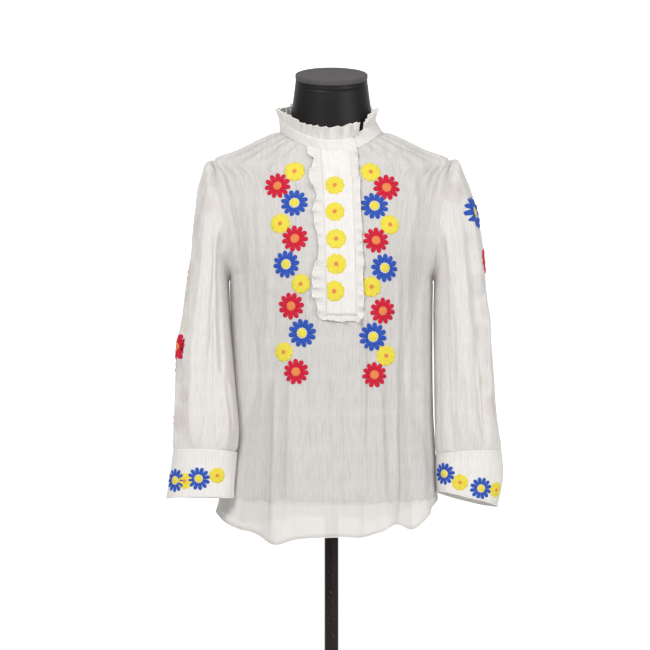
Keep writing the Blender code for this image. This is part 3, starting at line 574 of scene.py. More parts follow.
def smooth_body(side, angle, place):
    """Points of the body without folds. side is 1 on the front and -1 on the back."""
    level = read_table(LEVELS, place)
    depth, z_middle = of_side(level, side, "y"), of_side(level, side, "z")
    share = np.sin(angle) / np.sin(edge_angle(level, side))
    drift = level.shift * np.maximum(0.0, 1 - share * share) ** 2 * (side > 0)
    low = np.maximum(0.0, 1 - place / FLARE_FROM)
    squareness = 2 + HEM_SQUARENESS * low
    return np.stack(
        np.broadcast_arrays(
            level.x_side * share * flare(share, low) + drift,
            -side * depth * np.cos(angle),
            z_middle + (level.z_side - z_middle) * np.abs(share) ** squareness,
        ),
        -1,
    )


def body_normal(side, angle, place):
    turn, climb = 0.004, 0.02
    low, high = np.maximum(place - climb, 0.0), np.minimum(place + climb, HIGHEST)
    across = smooth_body(side, angle + turn, place) - smooth_body(side, angle - turn, place)
    edge_low, edge_high, here = (
        edge_angle(read_table(LEVELS, at), side) for at in (low, high, place)
    )
    up = smooth_body(side, angle * edge_high / here, high)
    up = up - smooth_body(side, angle * edge_low / here, low)
    return unit(np.cross(across, up) * side)


def body_folds(side, angle, z):
    degrees = np.degrees(angle)
    free = 1 - smooth_step(*FOLD_FREE_SIDE, np.abs(degrees))
    total = 0.0
    for fold in FRONT_FOLDS if side > 0 else BACK_FOLDS:
        grown = 1 - smooth_step(LEVELS[0].z_front, fold.fades, z)
        bell = np.exp(-(((degrees - fold.angle) / fold.width) ** 2))
        total = total + fold.stands_out * grown * bell
    return total * free


def hem_drop(side, angle, x, place):
    above = read_table(LEVELS, place).z_front - LEVELS[0].z_front
    total = bells(FRONT_HEM if side > 0 else BACK_HEM, np.degrees(angle), "drop")
    return (total - HEM_TILT * x) * np.exp(-above / HEM_REACH)


def neck_gathers(side, column, place):
    """Soft uneven pleats below the collar seam, and finer ones between them."""
    level = read_table(LEVELS, place)
    below = of_side(LEVELS[-1], side, "z") - of_side(level, side, "z")
    count = np.abs(column)
    size = smooth_step(0.0, 0.006, below) * smooth_step(3.2, 5.0, count)
    size = size * (0.45 + 0.55 * smooth_step(6.0, 8.0, count))
    reach = 0.042 + 0.024 * noise(column * 0.8, 0.0, 11 + side)
    pleat = waves(column + 0.35 * noise(column * 0.5, below / 0.08, 12 + side))
    fine = waves(2.3 * (column + 0.3 * noise(column, below / 0.05, 14 + side)))
    pleat, fine = NECK_GATHER * pleat, FINE_NECK_GATHER * fine
    return size * (pleat * np.exp(-below / reach) + fine * np.exp(-below / 0.02))


def drawn_lines(lines, across, along, scale=1.0):
    """How far listed creases stand out. across and along match the lines' own numbers."""
    total = 0.0
    for line in lines:
        start = np.array(line.start) * (scale, 1.0)
        run = np.array(line.end) * (scale, 1.0) - start
        length = np.linalg.norm(run)
        way = run / length
        off = np.stack(np.broadcast_arrays(across * scale - start[0], along - start[1]), -1)
        share = (off @ way) / length
        bent = line.bow * 4 * share * (1 - share)
        apart = off @ np.array((way[1], -way[0])) - bent
        inside = smooth_step(0.0, 0.22, share) * (1 - smooth_step(0.72, 1.0, share))
        width = CREASE_WIDTH * line.width
        total = total + CREASE_HEIGHT * line.height * inside * np.exp(-((apart / width) ** 2))
    return total


class Surface:
    """A fine grid of points with outward directions, on which details are laid."""

    def __init__(self, points, outward, ring=False):
        self.points, self.outward, self.ring = points, outward, ring

    def read(self, values, row, column):
        rows, columns = values.shape[:2]
        row = np.clip(row, 0, rows - 1.001)
        if self.ring:
            column = column % columns
        else:
            column = np.clip(column, 0, columns - 1.001)
        r, c = np.floor(row).astype(int), np.floor(column).astype(int)
        f, g = (row - r)[..., None], (column - c)[..., None]
        d = (c + 1) % columns
        low = values[r, c] * (1 - g) + values[r, d] * g
        return low * (1 - f) + (values[r + 1, c] * (1 - g) + values[r + 1, d] * g) * f

    def at(self, row, column, out=0.0):
        row, column = np.broadcast_arrays(
            np.asarray(row, dtype=float), np.asarray(column, dtype=float)
        )
        ways = unit(self.read(self.outward, row, column))
        return self.read(self.points, row, column) + ways * np.asarray(out)[..., None]

    def steps(self, row, column):
        """How the point moves for one column and one row, and the outward direction."""
        e_column = (self.at(row, column + 1) - self.at(row, column - 1)) / 2
        e_row = (self.at(row + 1, column) - self.at(row - 1, column)) / 2
        return e_column, e_row, unit(self.read(self.outward, row, column))

    def lay(self, row, column, flat, out):
        """Lays flat points, given in metres about a place, on the surface and out from it."""
        middle, way = self.at(row, column), self.steps(row, column)[2]
        up = unit(np.array((0.0, 0.0, 1.0)) - way * way[2])
        frame_of = np.stack((np.cross(up, way), up), -1)
        row, column = np.full(len(flat), row), np.full(len(flat), column)
        last_row, last_column = self.points.shape[0] - 2.1, self.points.shape[1] - 2.1
        for _ in range(8):
            e_column, e_row, _ = self.steps(row, column)
            miss = flat - (self.at(row, column) - middle) @ frame_of
            (a, c), (b, d) = (e_column @ frame_of).T, (e_row @ frame_of).T
            area = a * d - b * c
            area = np.where(np.abs(area) < 1e-9, 1e-9, area)
            column = column + np.clip((d * miss[:, 0] - b * miss[:, 1]) / area, -3, 3)
            row = np.clip(row + np.clip((a * miss[:, 1] - c * miss[:, 0]) / area, -3, 3), 1, last_row)
            if not self.ring:
                column = np.clip(column, 1, last_column)
        return self.at(row, column, out)


def panel_places(count):
    """Places of the rows of a panel, so that they are evenly far apart on the cloth."""
    fine = np.linspace(0, HIGHEST, 1200)
    level = read_table(LEVELS, fine)
    middle = np.abs(np.diff(level.z_front))
    edge = np.hypot(np.diff(level.x_side), np.diff(level.z_side))
    run = np.concatenate(([0.0], np.cumsum(middle + edge)))
    return np.interp(np.linspace(0, run[-1], count), run, fine)


PANEL_ROWS = 104
PANEL_SPANS = 360
CLOTH_REST = 0.0004
SIDE_REST = 0.0005
PANEL_ROUND = 0.165
WIDEST = 13.0


def panel_surface(side, crinkle, spacing, fine=True):
    """Surface of the front or back. Without the fine creases it carries the embroidery."""
    place = panel_places(PANEL_ROWS)[:, None]
    column = np.linspace(-EDGE_COLUMN, EDGE_COLUMN, PANEL_SPANS + 1)[None, :]
    level = read_table(LEVELS, place)
    angle = column_angle(level, side, column)
    points = smooth_body(side, angle, place)
    outward = body_normal(side, angle, place)
    out = body_folds(side, angle, points[..., 2]) + neck_gathers(side, column, place)
    to_edge = EDGE_COLUMN - np.abs(column)
    beside_sleeve = smooth_step(3.0, 0.6, to_edge)
    beside_sleeve = beside_sleeve * smooth_step(ARMPIT + 0.4, ARMPIT - 0.6, place)
    out = out + CLOTH_REST + SIDE_REST * beside_sleeve
    x, z = points[..., 0], points[..., 2]
    shoulder = smooth_step(4.0, 0.5, to_edge) * smooth_step(10.0, 11.5, place)
    free = smooth_step(0.0, 0.9, to_edge) * (1 - 0.7 * shoulder)
    free = free * smooth_step(0.0, 0.5, HIGHEST - place)
    under_placket = smooth_step(PLACKET_FOOT - 0.6, PLACKET_FOOT + 0.1, place) * (side > 0)
    under_placket = under_placket * (1 - smooth_step(2.2, 3.6, np.abs(column)))
    lines = FRONT_LINES if side > 0 else BACK_LINES
    out = out + drawn_lines(lines, x, z) * free * (1 - under_placket)
    widest = read_table(LEVELS, np.minimum(place, WIDEST)).x_side
    across, along = PANEL_ROUND * np.arcsin(np.clip(x / (1.01 * widest), -1, 1)), z
    broad = noise(across / 0.045, along / 0.11, 31 + side)
    out = out + 0.0008 * broad * free * (1 - under_placket)
    if fine:
        size = crinkle * (0.55 + 0.45 * smooth_step(1.30, 1.0, z))
        wave = crinkles(across, along, spacing, 41 + side) - 0.3
        out = out + size * wave * free * (1 - 0.8 * under_placket)
    points = points + outward * np.maximum(out, 0.0001)[..., None]
    points[..., 2] -= hem_drop(side, angle, x, place)
    return Surface(points, outward), across, along


def grid_row(side, place):
    """Row of a panel's grid at a place between the levels."""
    return np.interp(place, panel_places(PANEL_ROWS), np.arange(PANEL_ROWS))


def body_envelope(z, left):
    """Half width and half depths of the body at heights below the armpit."""
    rows = LEVELS[: ARMPIT + 1]
    heights = [row.z_side for row in rows]
    width, front, back = (
        np.interp(z, heights, [getattr(row, name) for row in rows])
        for name in ("x_side", "y_front", "y_back")
    )
    low = np.maximum(0.0, 1 - np.interp(z, heights, range(len(rows))) / FLARE_FROM)
    return width * flare(np.where(left, -1.0, 1.0), low), front, back


def keep_clear(points, clear=SLEEVE_CLEAR_OF_BODY):
    """Moves points of a sleeve out of the body, so that it lies against the body's side."""
    x, y, z = points[..., 0], points[..., 1], points[..., 2]
    width, front, back = body_envelope(z, x < 0)
    depth = np.where(y < 0, front, back)
    angle = np.arctan2(x / width, np.abs(y) / depth)
    folds = np.where(y < 0, body_folds(1, angle, z), body_folds(-1, angle, z))
    margin = COTTON + clear + np.maximum(folds, 0.0)
    inside = np.hypot(x / (width + margin), y / (depth + margin))
    push = np.where((inside < 1) & (z <= BODY_ENVELOPE_TOP), 1 / inside, 1.0)
    return np.stack((x * push, y * push, z), -1)


def ring_middle(ring):
    """Middle of a ring, and the way from there to its outer point."""
    middle = np.array((ring.x_out + ring.x_in, 0.0, ring.z_out + ring.z_in)) / 2
    return middle, np.array((ring.x_out - ring.x_in, 0.0, ring.z_out - ring.z_in)) / 2


def ring_points(ring, angle, hand, out):
    """Points of a sleeve or cuff ring. angle 0 is its outer line and 90 degrees its front."""
    middle, half = ring_middle(ring)
    far = (np.cos(angle) * (1 + out / np.linalg.norm(half)))[..., None]
    points = middle + half * far
    points[..., 1] = -(ring.half_depth + out) * np.sin(angle)
    points[..., 2] += ring.lean * -points[..., 1]
    points[..., 1] -= ring.forward
    points[..., 0] *= hand
    return keep_clear(points)


def angle_on_ring(ring, hand, points):
    middle, half = ring_middle(ring)
    off = points * (hand, 0.0, 1.0) - middle
    return np.arctan2(-points[..., 1] / ring.half_depth, (off @ half) / (half @ half))


def armhole_ring(hand, q):
    """Start of the sleeve at places q round the armhole, from the shoulder down the front."""
    places = np.concatenate((ARMHOLE_PLACES[::-1], ARMHOLE_PLACES[1:]))
    place = np.interp(q, np.arange(len(places)), places)
    front = q <= len(ARMHOLE_PLACES) - 1
    edge, way = [], []
    for side in (1, -1):
        level = read_table(LEVELS, place)
        angle = column_angle(level, side, hand * EDGE_COLUMN)
        edge.append(smooth_body(side, angle, place))
        way.append(body_normal(side, angle, place))
    points = np.where(front[:, None], edge[0], edge[1])
    outward = np.where(front[:, None], way[0], way[1])
    hole = points.mean(axis=0)
    along = unit(np.roll(points, -1, axis=0) - np.roll(points, 1, axis=0))
    across = unit(np.cross(along, outward))
    across *= np.sign(dot(across, hole - points))[:, None]
    over = 1 - smooth_step(*TURNED_DOWN, place - ARMPIT)
    points = points + across * SEAM + outward * ((COTTON + SEAM) * over)[:, None]
    return points, outward


def ring_outward(points, hand, closed):
    if closed:
        across = np.roll(points, -1, axis=1) - np.roll(points, 1, axis=1)
    else:
        across = np.gradient(points, axis=1)
    down = np.gradient(points, axis=0)
    return unit(np.cross(across, down) * hand)


def turn_between(a, b, once_round=360):
    return (a - b + once_round / 2) % once_round - once_round / 2


SLEEVE_ROWS = 92
SLEEVE_SPANS = 288
SLEEVE_ROUND = 0.056


def angle_about_sleeve(rings, hand, points):
    """Angle of points about the sleeve's own middle line at their height, 0 on its outer side."""
    heights = [-ring.z_out for ring in rings]
    drop = -points[..., 2]
    outer, inner, depth, forward = (
        np.interp(drop, heights, [getattr(ring, name) for ring in rings])
        for name in ("x_out", "x_in", "half_depth", "forward")
    )
    aside = (points[..., 0] * hand - (outer + inner) / 2) / ((outer - inner) / 2)
    return np.arctan2(-(points[..., 1] + forward) / depth, aside) % (2 * math.pi)


def sleeve_surface(rings, creases, lines, hand, crinkle, spacing, wall, fine=True):
    """Surface of a sleeve, its rows from the armhole to the cuff seam."""
    q = np.arange(SLEEVE_SPANS) * RING_COLUMNS / SLEEVE_SPANS
    start, _ = armhole_ring(hand, q)
    starts = angle_on_ring(rings[0], hand, start) % (2 * math.pi)
    starts[0] = 0.0
    last = len(rings) - 1
    even_angle = 2 * math.pi * q / RING_COLUMNS
    knots, angles = [start], [starts]
    for index, ring in enumerate(rings):
        even = smooth_step(-1, EVEN_FROM_RING, index)
        angle = starts + (even_angle - starts) * even
        grown = smooth_step(0, CREASE_GROWS_OVER, index)
        grown = grown * (1 - smooth_step(last - CREASE_FADES_OVER, last, index))
        degrees = np.degrees(angle)
        out = sum(
            c.depth * np.exp(-((turn_between(degrees, c.angle) / c.width) ** 2)) for c in creases
        )
        knots.append(ring_points(ring, angle, hand, out * grown))
        angles.append(angle)
    at = np.linspace(0, last + 1, SLEEVE_ROWS)
    points = between(np.array(knots), at)
    angles = between(np.array(angles)[..., None], at)[..., 0]
    outward = ring_outward(points, hand, True)
    index = at[:, None] - 1
    z = points[..., 2]
    head = SLEEVE_HEAD_GATHER * np.exp(-(index + 1) / HEAD_GATHER_REACH)
    head = head * smooth_step(-1, -0.6, index) * np.maximum(0.0, np.cos(angles)) * waves(1.5 * q)
    foot = smooth_step(last - CUFF_GATHER_REACH, last - 0.8, index)
    foot = foot * (1 - smooth_step(last - 0.5, last, index))
    uneven = 0.65 + 0.45 * noise(q * 0.7, index * 0.6, 51 + hand)
    pleat = waves(q + 0.5 * noise(q * 0.4, index * 0.3, 52 + hand))
    small = waves(2 * (q + 0.4 * noise(q, index, 53 + hand)))
    gathers = foot * (CUFF_GATHER * pleat * uneven + SMALL_CUFF_GATHER * small)
    ends = smooth_step(-1, -0.3, index) * (1 - smooth_step(last - 0.4, last, index))
    degrees = np.degrees(angles) % 360
    laid = drawn_lines(lines, degrees, z, DEGREE_ON_SLEEVE)
    across = angle_about_sleeve(rings, hand, points) * SLEEVE_ROUND
    inner_side = np.exp(-((turn_between(degrees, 180) / 40) ** 2))
    out = CLOTH_REST + SIDE_REST * inner_side + head + gathers + ends * laid
    out = out + ends * 0.0010 * noise(q * 0.8, z / 0.10, 54 + hand)
    if fine:
        wave = crinkles(across, z, spacing, 61 + hand) - 0.3
        out = out + crinkle * 1.1 * wave * ends
    points = keep_clear(points + outward * out[..., None], SLEEVE_CLEAR_OF_BODY - COTTON + wall)
    return Surface(points, outward, True), across, z


CUFF_ROWS = 22
CUFF_FINENESS = 6
CUFF_DROOP = {1: 0.0015, -1: 0.0038}
CUFF_LOWEST = math.radians(60)
# Metres of cloth for each step round a cuff or along the collar
CUFF_STEP, COLLAR_STEP = 0.0118, 0.0058


def cuff_surface(sleeve_end, rings, hand):
    """Surface of a cuff: from its front inner opening round the wrist, lapping over its start."""
    columns = RING_COLUMNS + CUFF_LAP_COLUMNS
    step = np.linspace(0, columns, columns * CUFF_FINENESS + 1)
    angle = 2 * math.pi * (CUFF_START + step) / RING_COLUMNS
    top = ring_points(sleeve_end, angle, hand, 0.0) - (0, 0, SEAM)
    knots = np.array([top] + [ring_points(ring, angle, hand, 0.0) for ring in rings])
    points = between(knots, np.linspace(0, len(rings), CUFF_ROWS))
    outward = ring_outward(points, hand, False)
    lap = LAP * smooth_step(RING_COLUMNS - CUFF_LAP_RISE, RING_COLUMNS - 0.5, step)
    share = np.linspace(0, 1, CUFF_ROWS)[:, None]
    soft = 0.0005 * noise(step * 0.6, share * 2, 71 + hand) * smooth_step(0, 0.3, share)
    fine = 0.0003 * noise(step * 2.6, share * 1.5, 73 + hand) * smooth_step(0, 0.2, share)
    out = SEAM + lap + soft + fine
    points = points + outward * out[..., None]
    droop = CUFF_DROOP[hand] * np.cos(angle - CUFF_LOWEST)
    points[..., 2] -= (droop + 0.0010 * noise(step * 0.5, 0.0, 75 + hand)) * share**1.5
    return Surface(points, outward), step * CUFF_STEP, points[..., 2]


COLLAR_SPANS = 75
COLLAR_FINENESS = 6
COLLAR_HEIGHT_ROWS = 15
COLLAR_BACK_FROM, COLLAR_BACK_TO = 16, 52
COLLAR_LAP = (68.0, 71.5)
RUFFLE_ROWS = 17
RUFFLE_SPANS = 900
RUFFLE_HEIGHT = 0.0197
RUFFLE_FULLNESS, TRIM_FULLNESS = 1.6, 1.5


def neck_edge(p):
    """Collar seam at places p: from the under end, round the back, to the upper end."""
    start, end = COLLAR_BACK_FROM, COLLAR_BACK_TO
    column = np.where(p <= end, EDGE_COLUMN - (p - start), p - end - EDGE_COLUMN)
    column = np.where(p <= start, COLLAR_OPENS_FROM + p, column)
    back = (p > start) & (p < end)
    found = []
    for side in (1, -1):
        here = []
        for place in (HIGHEST, HIGHEST - JUST_BELOW):
            angle = column_angle(read_table(LEVELS, place), side, column)
            here.append(smooth_body(side, angle, place))
        found.append((here[0] + unit(here[0] - here[1]) * SEAM, body_normal(side, angle, HIGHEST)))
    return tuple(np.where(back[:, None], b, a) for a, b in zip(*found))


def collar_knots(p):
    """Rows of points up the collar band, and their outward directions."""
    seam, normal = neck_edge(p)
    lift = LAP * smooth_step(*COLLAR_LAP, p)[:, None]
    rows, ways = [seam + normal * lift], [normal]
    for rise, share, aside in COLLAR_ROWS:
        flat = seam * (1, 1, 0) - COLLAR_MIDDLE
        drawn = COLLAR_MIDDLE + flat * share + (aside, 0, 0)
        drawn[:, 2] = seam[:, 2]
        risen = drawn + COLLAR_LEAN * rise
        out = unit(risen * (1, 1, 0) - COLLAR_MIDDLE)
        rows.append(risen + out * lift)
        ways.append(out)
    return np.array(rows), np.array(ways)


def collar_surface():
    p = np.linspace(0, COLLAR_SPANS, COLLAR_SPANS * COLLAR_FINENESS + 1)
    knots, ways = collar_knots(p)
    at = np.linspace(0, 2, COLLAR_HEIGHT_ROWS)
    points, outward = between(knots, at), unit(between(ways, at))
    share = at[:, None] / 2
    body = smooth_step(0, 0.2, share) * (1 - smooth_step(0.85, 1, share))
    out = SEAM + 0.0004 * body * (0.5 + noise(p * 1.3, share * 1.2, 81))
    points = points + outward * out[..., None]
    return Surface(points, outward), p * COLLAR_STEP, points[..., 2]


def outward_like(points, out):
    """Normals of a strip of points, on the side that out is on."""
    found = unit(np.cross(np.gradient(points, axis=1), np.gradient(points, axis=0)))
    return found * np.sign(dot(found, np.broadcast_to(out, found.shape)))[..., None]


def collar_ruffle_surface():
    """Crimped ruffle standing on the collar band."""
    p = np.linspace(RUFFLE_STARTS_AT, COLLAR_SPANS, RUFFLE_SPANS)
    knots, ways = collar_knots(p)
    top, out = knots[-1], ways[-1]
    share = np.linspace(0, 1, RUFFLE_ROWS)[:, None]
    rise = SEAM + share * RUFFLE_HEIGHT
    lean = SEAM + 0.0027 * share**1.6
    phase = math.pi * p * 1.22 + 2.2 * 0.9 * noise(p * 0.22, 0.0, 82)
    swing = np.sin(phase) * (0.80 + 0.50 * noise(p * 0.5, 0.0, 83))
    crimp = np.sin(math.pi * p * 3.1 + 3.0 * noise(p * 0.6, 0.0, 84))
    curl = 0.0038 * swing * share**1.2 + 0.0007 * crimp * share * (1 - 0.4 * share)
    along = unit(np.gradient(top, axis=0))
    slide = 0.0016 * np.cos(phase) * share**1.5
    slide = slide + 0.0150 * smooth_step(68, COLLAR_SPANS, p) * (0.92 + 0.08 * share)
    slide = slide + 0.0072 * smooth_step(9.5, RUFFLE_STARTS_AT, p) * (0.80 + 0.20 * share)
    scallop = 0.09 * noise(p * 0.7, 0.0, 85) + 0.06 * np.cos(phase)
    rounded_ends = 0.50 * smooth_step(11.0, RUFFLE_STARTS_AT, p)
    rounded_ends = rounded_ends + 0.16 * smooth_step(73.6, COLLAR_SPANS, p)
    height = rise * (1 + scallop * share) * (1 - rounded_ends)
    points = top + COLLAR_LEAN * height[..., None] + out * (lean + curl)[..., None]
    points = points + along * slide[..., None]
    length = COLLAR_STEP * p * RUFFLE_FULLNESS
    height = np.broadcast_to(height, points.shape[:2])
    return Surface(points, outward_like(points, out)), length, height


PLACKET_ROWS = 150
PLACKET_SPANS = 30


def placket_surface(fine=True):
    """The placket lies on the front, a cloth's thickness out from it."""
    place = np.linspace(PLACKET_FOOT, HIGHEST, PLACKET_ROWS)[:, None]
    column = np.linspace(-PLACKET_COLUMN, PLACKET_COLUMN, PLACKET_SPANS + 1)[None, :]
    angle = column_angle(read_table(LEVELS, place), 1, column)
    points = smooth_body(1, angle, place)
    outward = body_normal(1, angle, place)
    out = body_folds(1, angle, points[..., 2]) + COTTON + SEAM + 0.0002
    if fine:
        turned = np.exp(-(((np.abs(column) - 2.45) / 0.28) ** 2))
        pucker = noise(column * 0.9, place * 3.4, 91) * (0.5 + turned)
        inside = 1 - smooth_step(2.7, 3.0, np.abs(column))
        out = out + inside * (0.0004 + 0.0001 * turned + 0.0004 * pucker)
        out = out + 0.0006 * inside * noise(column * 1.1, place * 1.1, 92)
    points = points + outward * out[..., None]
    return Surface(points, outward), column[0] * 0.008, points[..., 2]


def placket_edge():
    """Path down the placket's left side, round its foot and up its right: points, directions
    away from the placket, outward directions and widths of the ruffle."""
    grid, _, _ = placket_surface(fine=False)
    rows, columns = grid.points.shape[:2]
    down, up = np.linspace(rows - 1.01, 0, 300), np.linspace(0, rows - 1.01, 300)
    runs = []

    def run(row, column, inner_row, inner_column, width):
        point, inner = grid.at(row, column), grid.at(inner_row, inner_column)
        way = unit(point - inner)
        out = unit(grid.read(grid.outward, *np.broadcast_arrays(row, column)))
        runs.append((point, way, out, width(point[:, 2])))

    def corner(column, way_from, way_to, width_from, width_to):
        share = np.linspace(0, 1, 26)[1:-1, None]
        point = np.broadcast_to(grid.points[0, column], (24, 3))
        out = np.broadcast_to(grid.outward[0, column], (24, 3))
        way = unit(way_from * (1 - share) + way_to * share)
        return point, way, out, width_from + (width_to - width_from) * share[:, 0]

    last = columns - 1.001
    heights, widths = zip(*TRIM_LEFT)
    run(down, 0.0, down, 1.0, lambda z: np.interp(z, heights, widths))
    across = np.linspace(0, last, 60)
    run(0.0, across, 1.0, across, lambda z: TRIM_WIDTH_FOOT + 0 * z)
    run(up, last, up, last - 1, lambda z: TRIM_WIDTH_RIGHT + 0 * z)
    left, foot, right = runs
    low_left = corner(0, left[1][-1], foot[1][0], left[3][-1], TRIM_WIDTH_FOOT)
    low_right = corner(-1, foot[1][-1], right[1][0], TRIM_WIDTH_FOOT, TRIM_WIDTH_RIGHT)
    return [np.concatenate(part) for part in zip(left, low_left, foot, low_right, right)]


def placket_ruffle_surface():
    """Gathered ruffle round the placket: fine puckers at the seam that open into soft waves."""
    point, way, out, width = placket_edge()
    share = np.linspace(0, 1, RUFFLE_ROWS)[:, None]
    middle = point + way * (width * 0.6)[:, None]
    run = np.concatenate(([0.0], np.cumsum(np.linalg.norm(np.diff(middle, axis=0), axis=1))))
    width = np.convolve(np.pad(width, 4, mode="edge"), np.hanning(11)[1:-1] / 5, "valid")
    low = smooth_step(1.055, 1.040, point[:, 2])
    phase = 2 * math.pi * run / 0.0215 + 2.4 * noise(run / 0.045, 0.0, 101)
    broad = np.sin(phase) * (0.80 + 0.4 * noise(run / 0.03, 0.0, 102))
    pucker = np.sin(2 * math.pi * run / 0.0052 + 2.6 * noise(run / 0.012, 0.0, 103))
    swell = 1 + 0.10 * noise(run / 0.009, 0.0, 104) + 0.02 * pucker
    swell = swell + low * 0.25 * noise(run / 0.006, 0.0, 106)
    reach = 0.0002 + width * swell * share
    puckers = 0.0006 * pucker * (0.6 + 0.6 * noise(run / 0.02, 0.0, 105))
    puckers = puckers * smooth_step(0, 0.15, share) * (1 - 0.6 * share)
    lift = 0.0033 * share**1.2 * (0.75 + broad * (1 + 0.5 * low))
    lift = 0.0005 + 0.0010 * share + lift + puckers
    along = unit(np.gradient(middle, axis=0))
    slide = 0.0032 * share**1.4 * np.cos(phase)
    points = point + way * reach[..., None] + out * lift[..., None] + along * slide[..., None]
    return Surface(points, outward_like(points, out)), run * TRIM_FULLNESS, reach


def new_object(name, mesh):
    made = bpy.data.objects.new(name, mesh)
    bpy.context.scene.collection.objects.link(made)
    return made


def quad_mesh(name, surface, across, along):
    """Mesh of a surface, its faces outward, with a UV map in metres of cloth."""
    across = np.broadcast_to(across, surface.points.shape[:2])
    points = surface.points
    rows, columns = points.shape[:2]
    spans = columns if surface.ring else columns - 1
    r, c = (a.ravel() for a in np.meshgrid(range(rows - 1), range(spans), indexing="ij"))
    d = (c + 1) % columns
    corners = ((r, c), (r, d), (r + 1, d), (r + 1, c))
    quads = np.stack([a * columns + b for a, b in corners], -1)
    once_round = 2 * math.pi * SLEEVE_ROUND
    here = across[r, c]
    u = np.stack([here + turn_between(across[a, b], here, once_round) for a, b in corners], -1)
    v = np.stack([along[a, b] for a, b in corners], -1)
    flat = points.reshape(-1, 3)
    face_way = np.cross(flat[quads[:, 1]] - flat[quads[:, 0]], flat[quads[:, 3]] - flat[quads[:, 0]])
    if dot(face_way, surface.outward.reshape(-1, 3)[quads[:, 0]]).sum() < 0:
        quads, u, v = quads[:, ::-1], u[:, ::-1], v[:, ::-1]
    mesh = bpy.data.meshes.new(name)
    mesh.from_pydata(flat.tolist(), [], quads.tolist())
    layer = mesh.uv_layers.new(name="UVMap")
    layer.data.foreach_set("uv", np.stack((u, v), -1).astype(np.float32).ravel())
    mesh.shade_smooth()
    return mesh


def mark_doubled_and_painted_shade(piece, bands):
    """Marks where a fold lays the cloth double, so that it hides more of what is behind it and its
    colour is darkened as painted shade.
    """
    points = np.empty(len(piece.data.vertices) * 3, dtype=np.float32)
    piece.data.vertices.foreach_get("co", points)
    x, _, z = points.reshape(-1, 3).T
    share = HEM_OPACITY_AND_SHADE * smooth_step(HEM_OPACITY_AND_SHADE_FROM, HEM_OPACITY_AND_SHADE_FROM - 0.006, z)
    for band in bands:
        middle = np.interp(z, (band.end[1], band.start[1]), (band.end[0], band.start[0]))
        inside = smooth_step(band.width + BAND_EDGE, band.width - BAND_EDGE, np.abs(x - middle))
        inside = inside * smooth_step(band.start[1], band.start[1] - BAND_FADES_OVER, z)
        share = np.maximum(share, band.height * inside)
    marks = piece.data.attributes.new("doubled", "FLOAT", "POINT")
    marks.data.foreach_set("value", np.asarray(share, dtype=np.float32))


def finished(piece, slot, *nodes):
    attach(piece, ROOT)
    if nodes:
        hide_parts(*nodes)


def cloth_piece(name, node, made, look="cotton", bands=None):
    """A thin shell of cloth that stands for a node of the solids."""
    piece = new_object("cloth_" + name, quad_mesh("cloth_" + name, *made))
    piece.data.materials.append(cotton(look))
    wall = piece.modifiers.new("thickness", "SOLIDIFY")
    doubled = look == "cotton_doubled"
    wall.thickness = DOUBLED_THICKNESS if doubled else settings("cloth").thickness
    wall.offset = 1.0
    if bands is not None:
        mark_doubled_and_painted_shade(piece, bands)
    finished(piece, "crinkled_cotton", node)
    return piece


def add_socket(tree, name, kind, default=None, way="INPUT"):
    socket = tree.interface.new_socket(name, in_out=way, socket_type=kind)
    if default is not None:
        socket.default_value = default
    return socket


def wire(tree, *links):
    """Joins sockets: each link is a node, its output, another node and its input."""
    for source, way_out, target, way_in in links:
        tree.links.new(source.outputs[way_out], target.inputs[way_in])


def path_tree(name, *inputs):
    """A tree that takes runs of edges: its nodes' maker, its group input and the runs as a curve."""
    tree = bpy.data.node_groups.new(name, "GeometryNodeTree")
    add_socket(tree, "Geometry", "NodeSocketGeometry")
    for label, kind, default in inputs:
        add_socket(tree, label, "NodeSocket" + kind, default)
    add_socket(tree, "Material", "NodeSocketMaterial")
    add_socket(tree, "Geometry", "NodeSocketGeometry", way="OUTPUT")
    given = tree.nodes.new("NodeGroupInput")
    curve = tree.nodes.new("GeometryNodeMeshToCurve")
    wire(tree, (given, "Geometry", curve, "Mesh"))
    return tree, given, curve


def end_tree(tree, given, made, socket):
    """Smooths, realizes and paints what was made, and puts it out."""
    smooth, real, paint = (
        tree.nodes.new("GeometryNode" + kind)
        for kind in ("SetShadeSmooth", "RealizeInstances", "SetMaterial")
    )
    result = tree.nodes.new("NodeGroupOutput")
    wire(
        tree,
        (made, socket, smooth, "Geometry"),
        (smooth, "Geometry", real, "Geometry"),
        (real, "Geometry", paint, "Geometry"),
        (given, "Material", paint, "Material"),
        (paint, "Geometry", result, "Geometry"),
    )
    return tree


def tube_tree():
    """Turns runs of edges into round cords of cloth, for seams and rolled hems."""
    tree, given, curve = path_tree("seam_tube", ("Radius", "Float", 0.0007), ("Sides", "Int", 8))
    ring = tree.nodes.new("GeometryNodeCurvePrimitiveCircle")
    tube = tree.nodes.new("GeometryNodeCurveToMesh")
    tube.inputs["Fill Caps"].default_value = True
    wire(
        tree,
        (given, "Radius", ring, "Radius"),
        (given, "Sides", ring, "Resolution"),
        (curve, "Curve", tube, "Curve"),
        (ring, "Curve", tube, "Profile Curve"),
    )
    return end_tree(tree, given, tube, "Mesh")


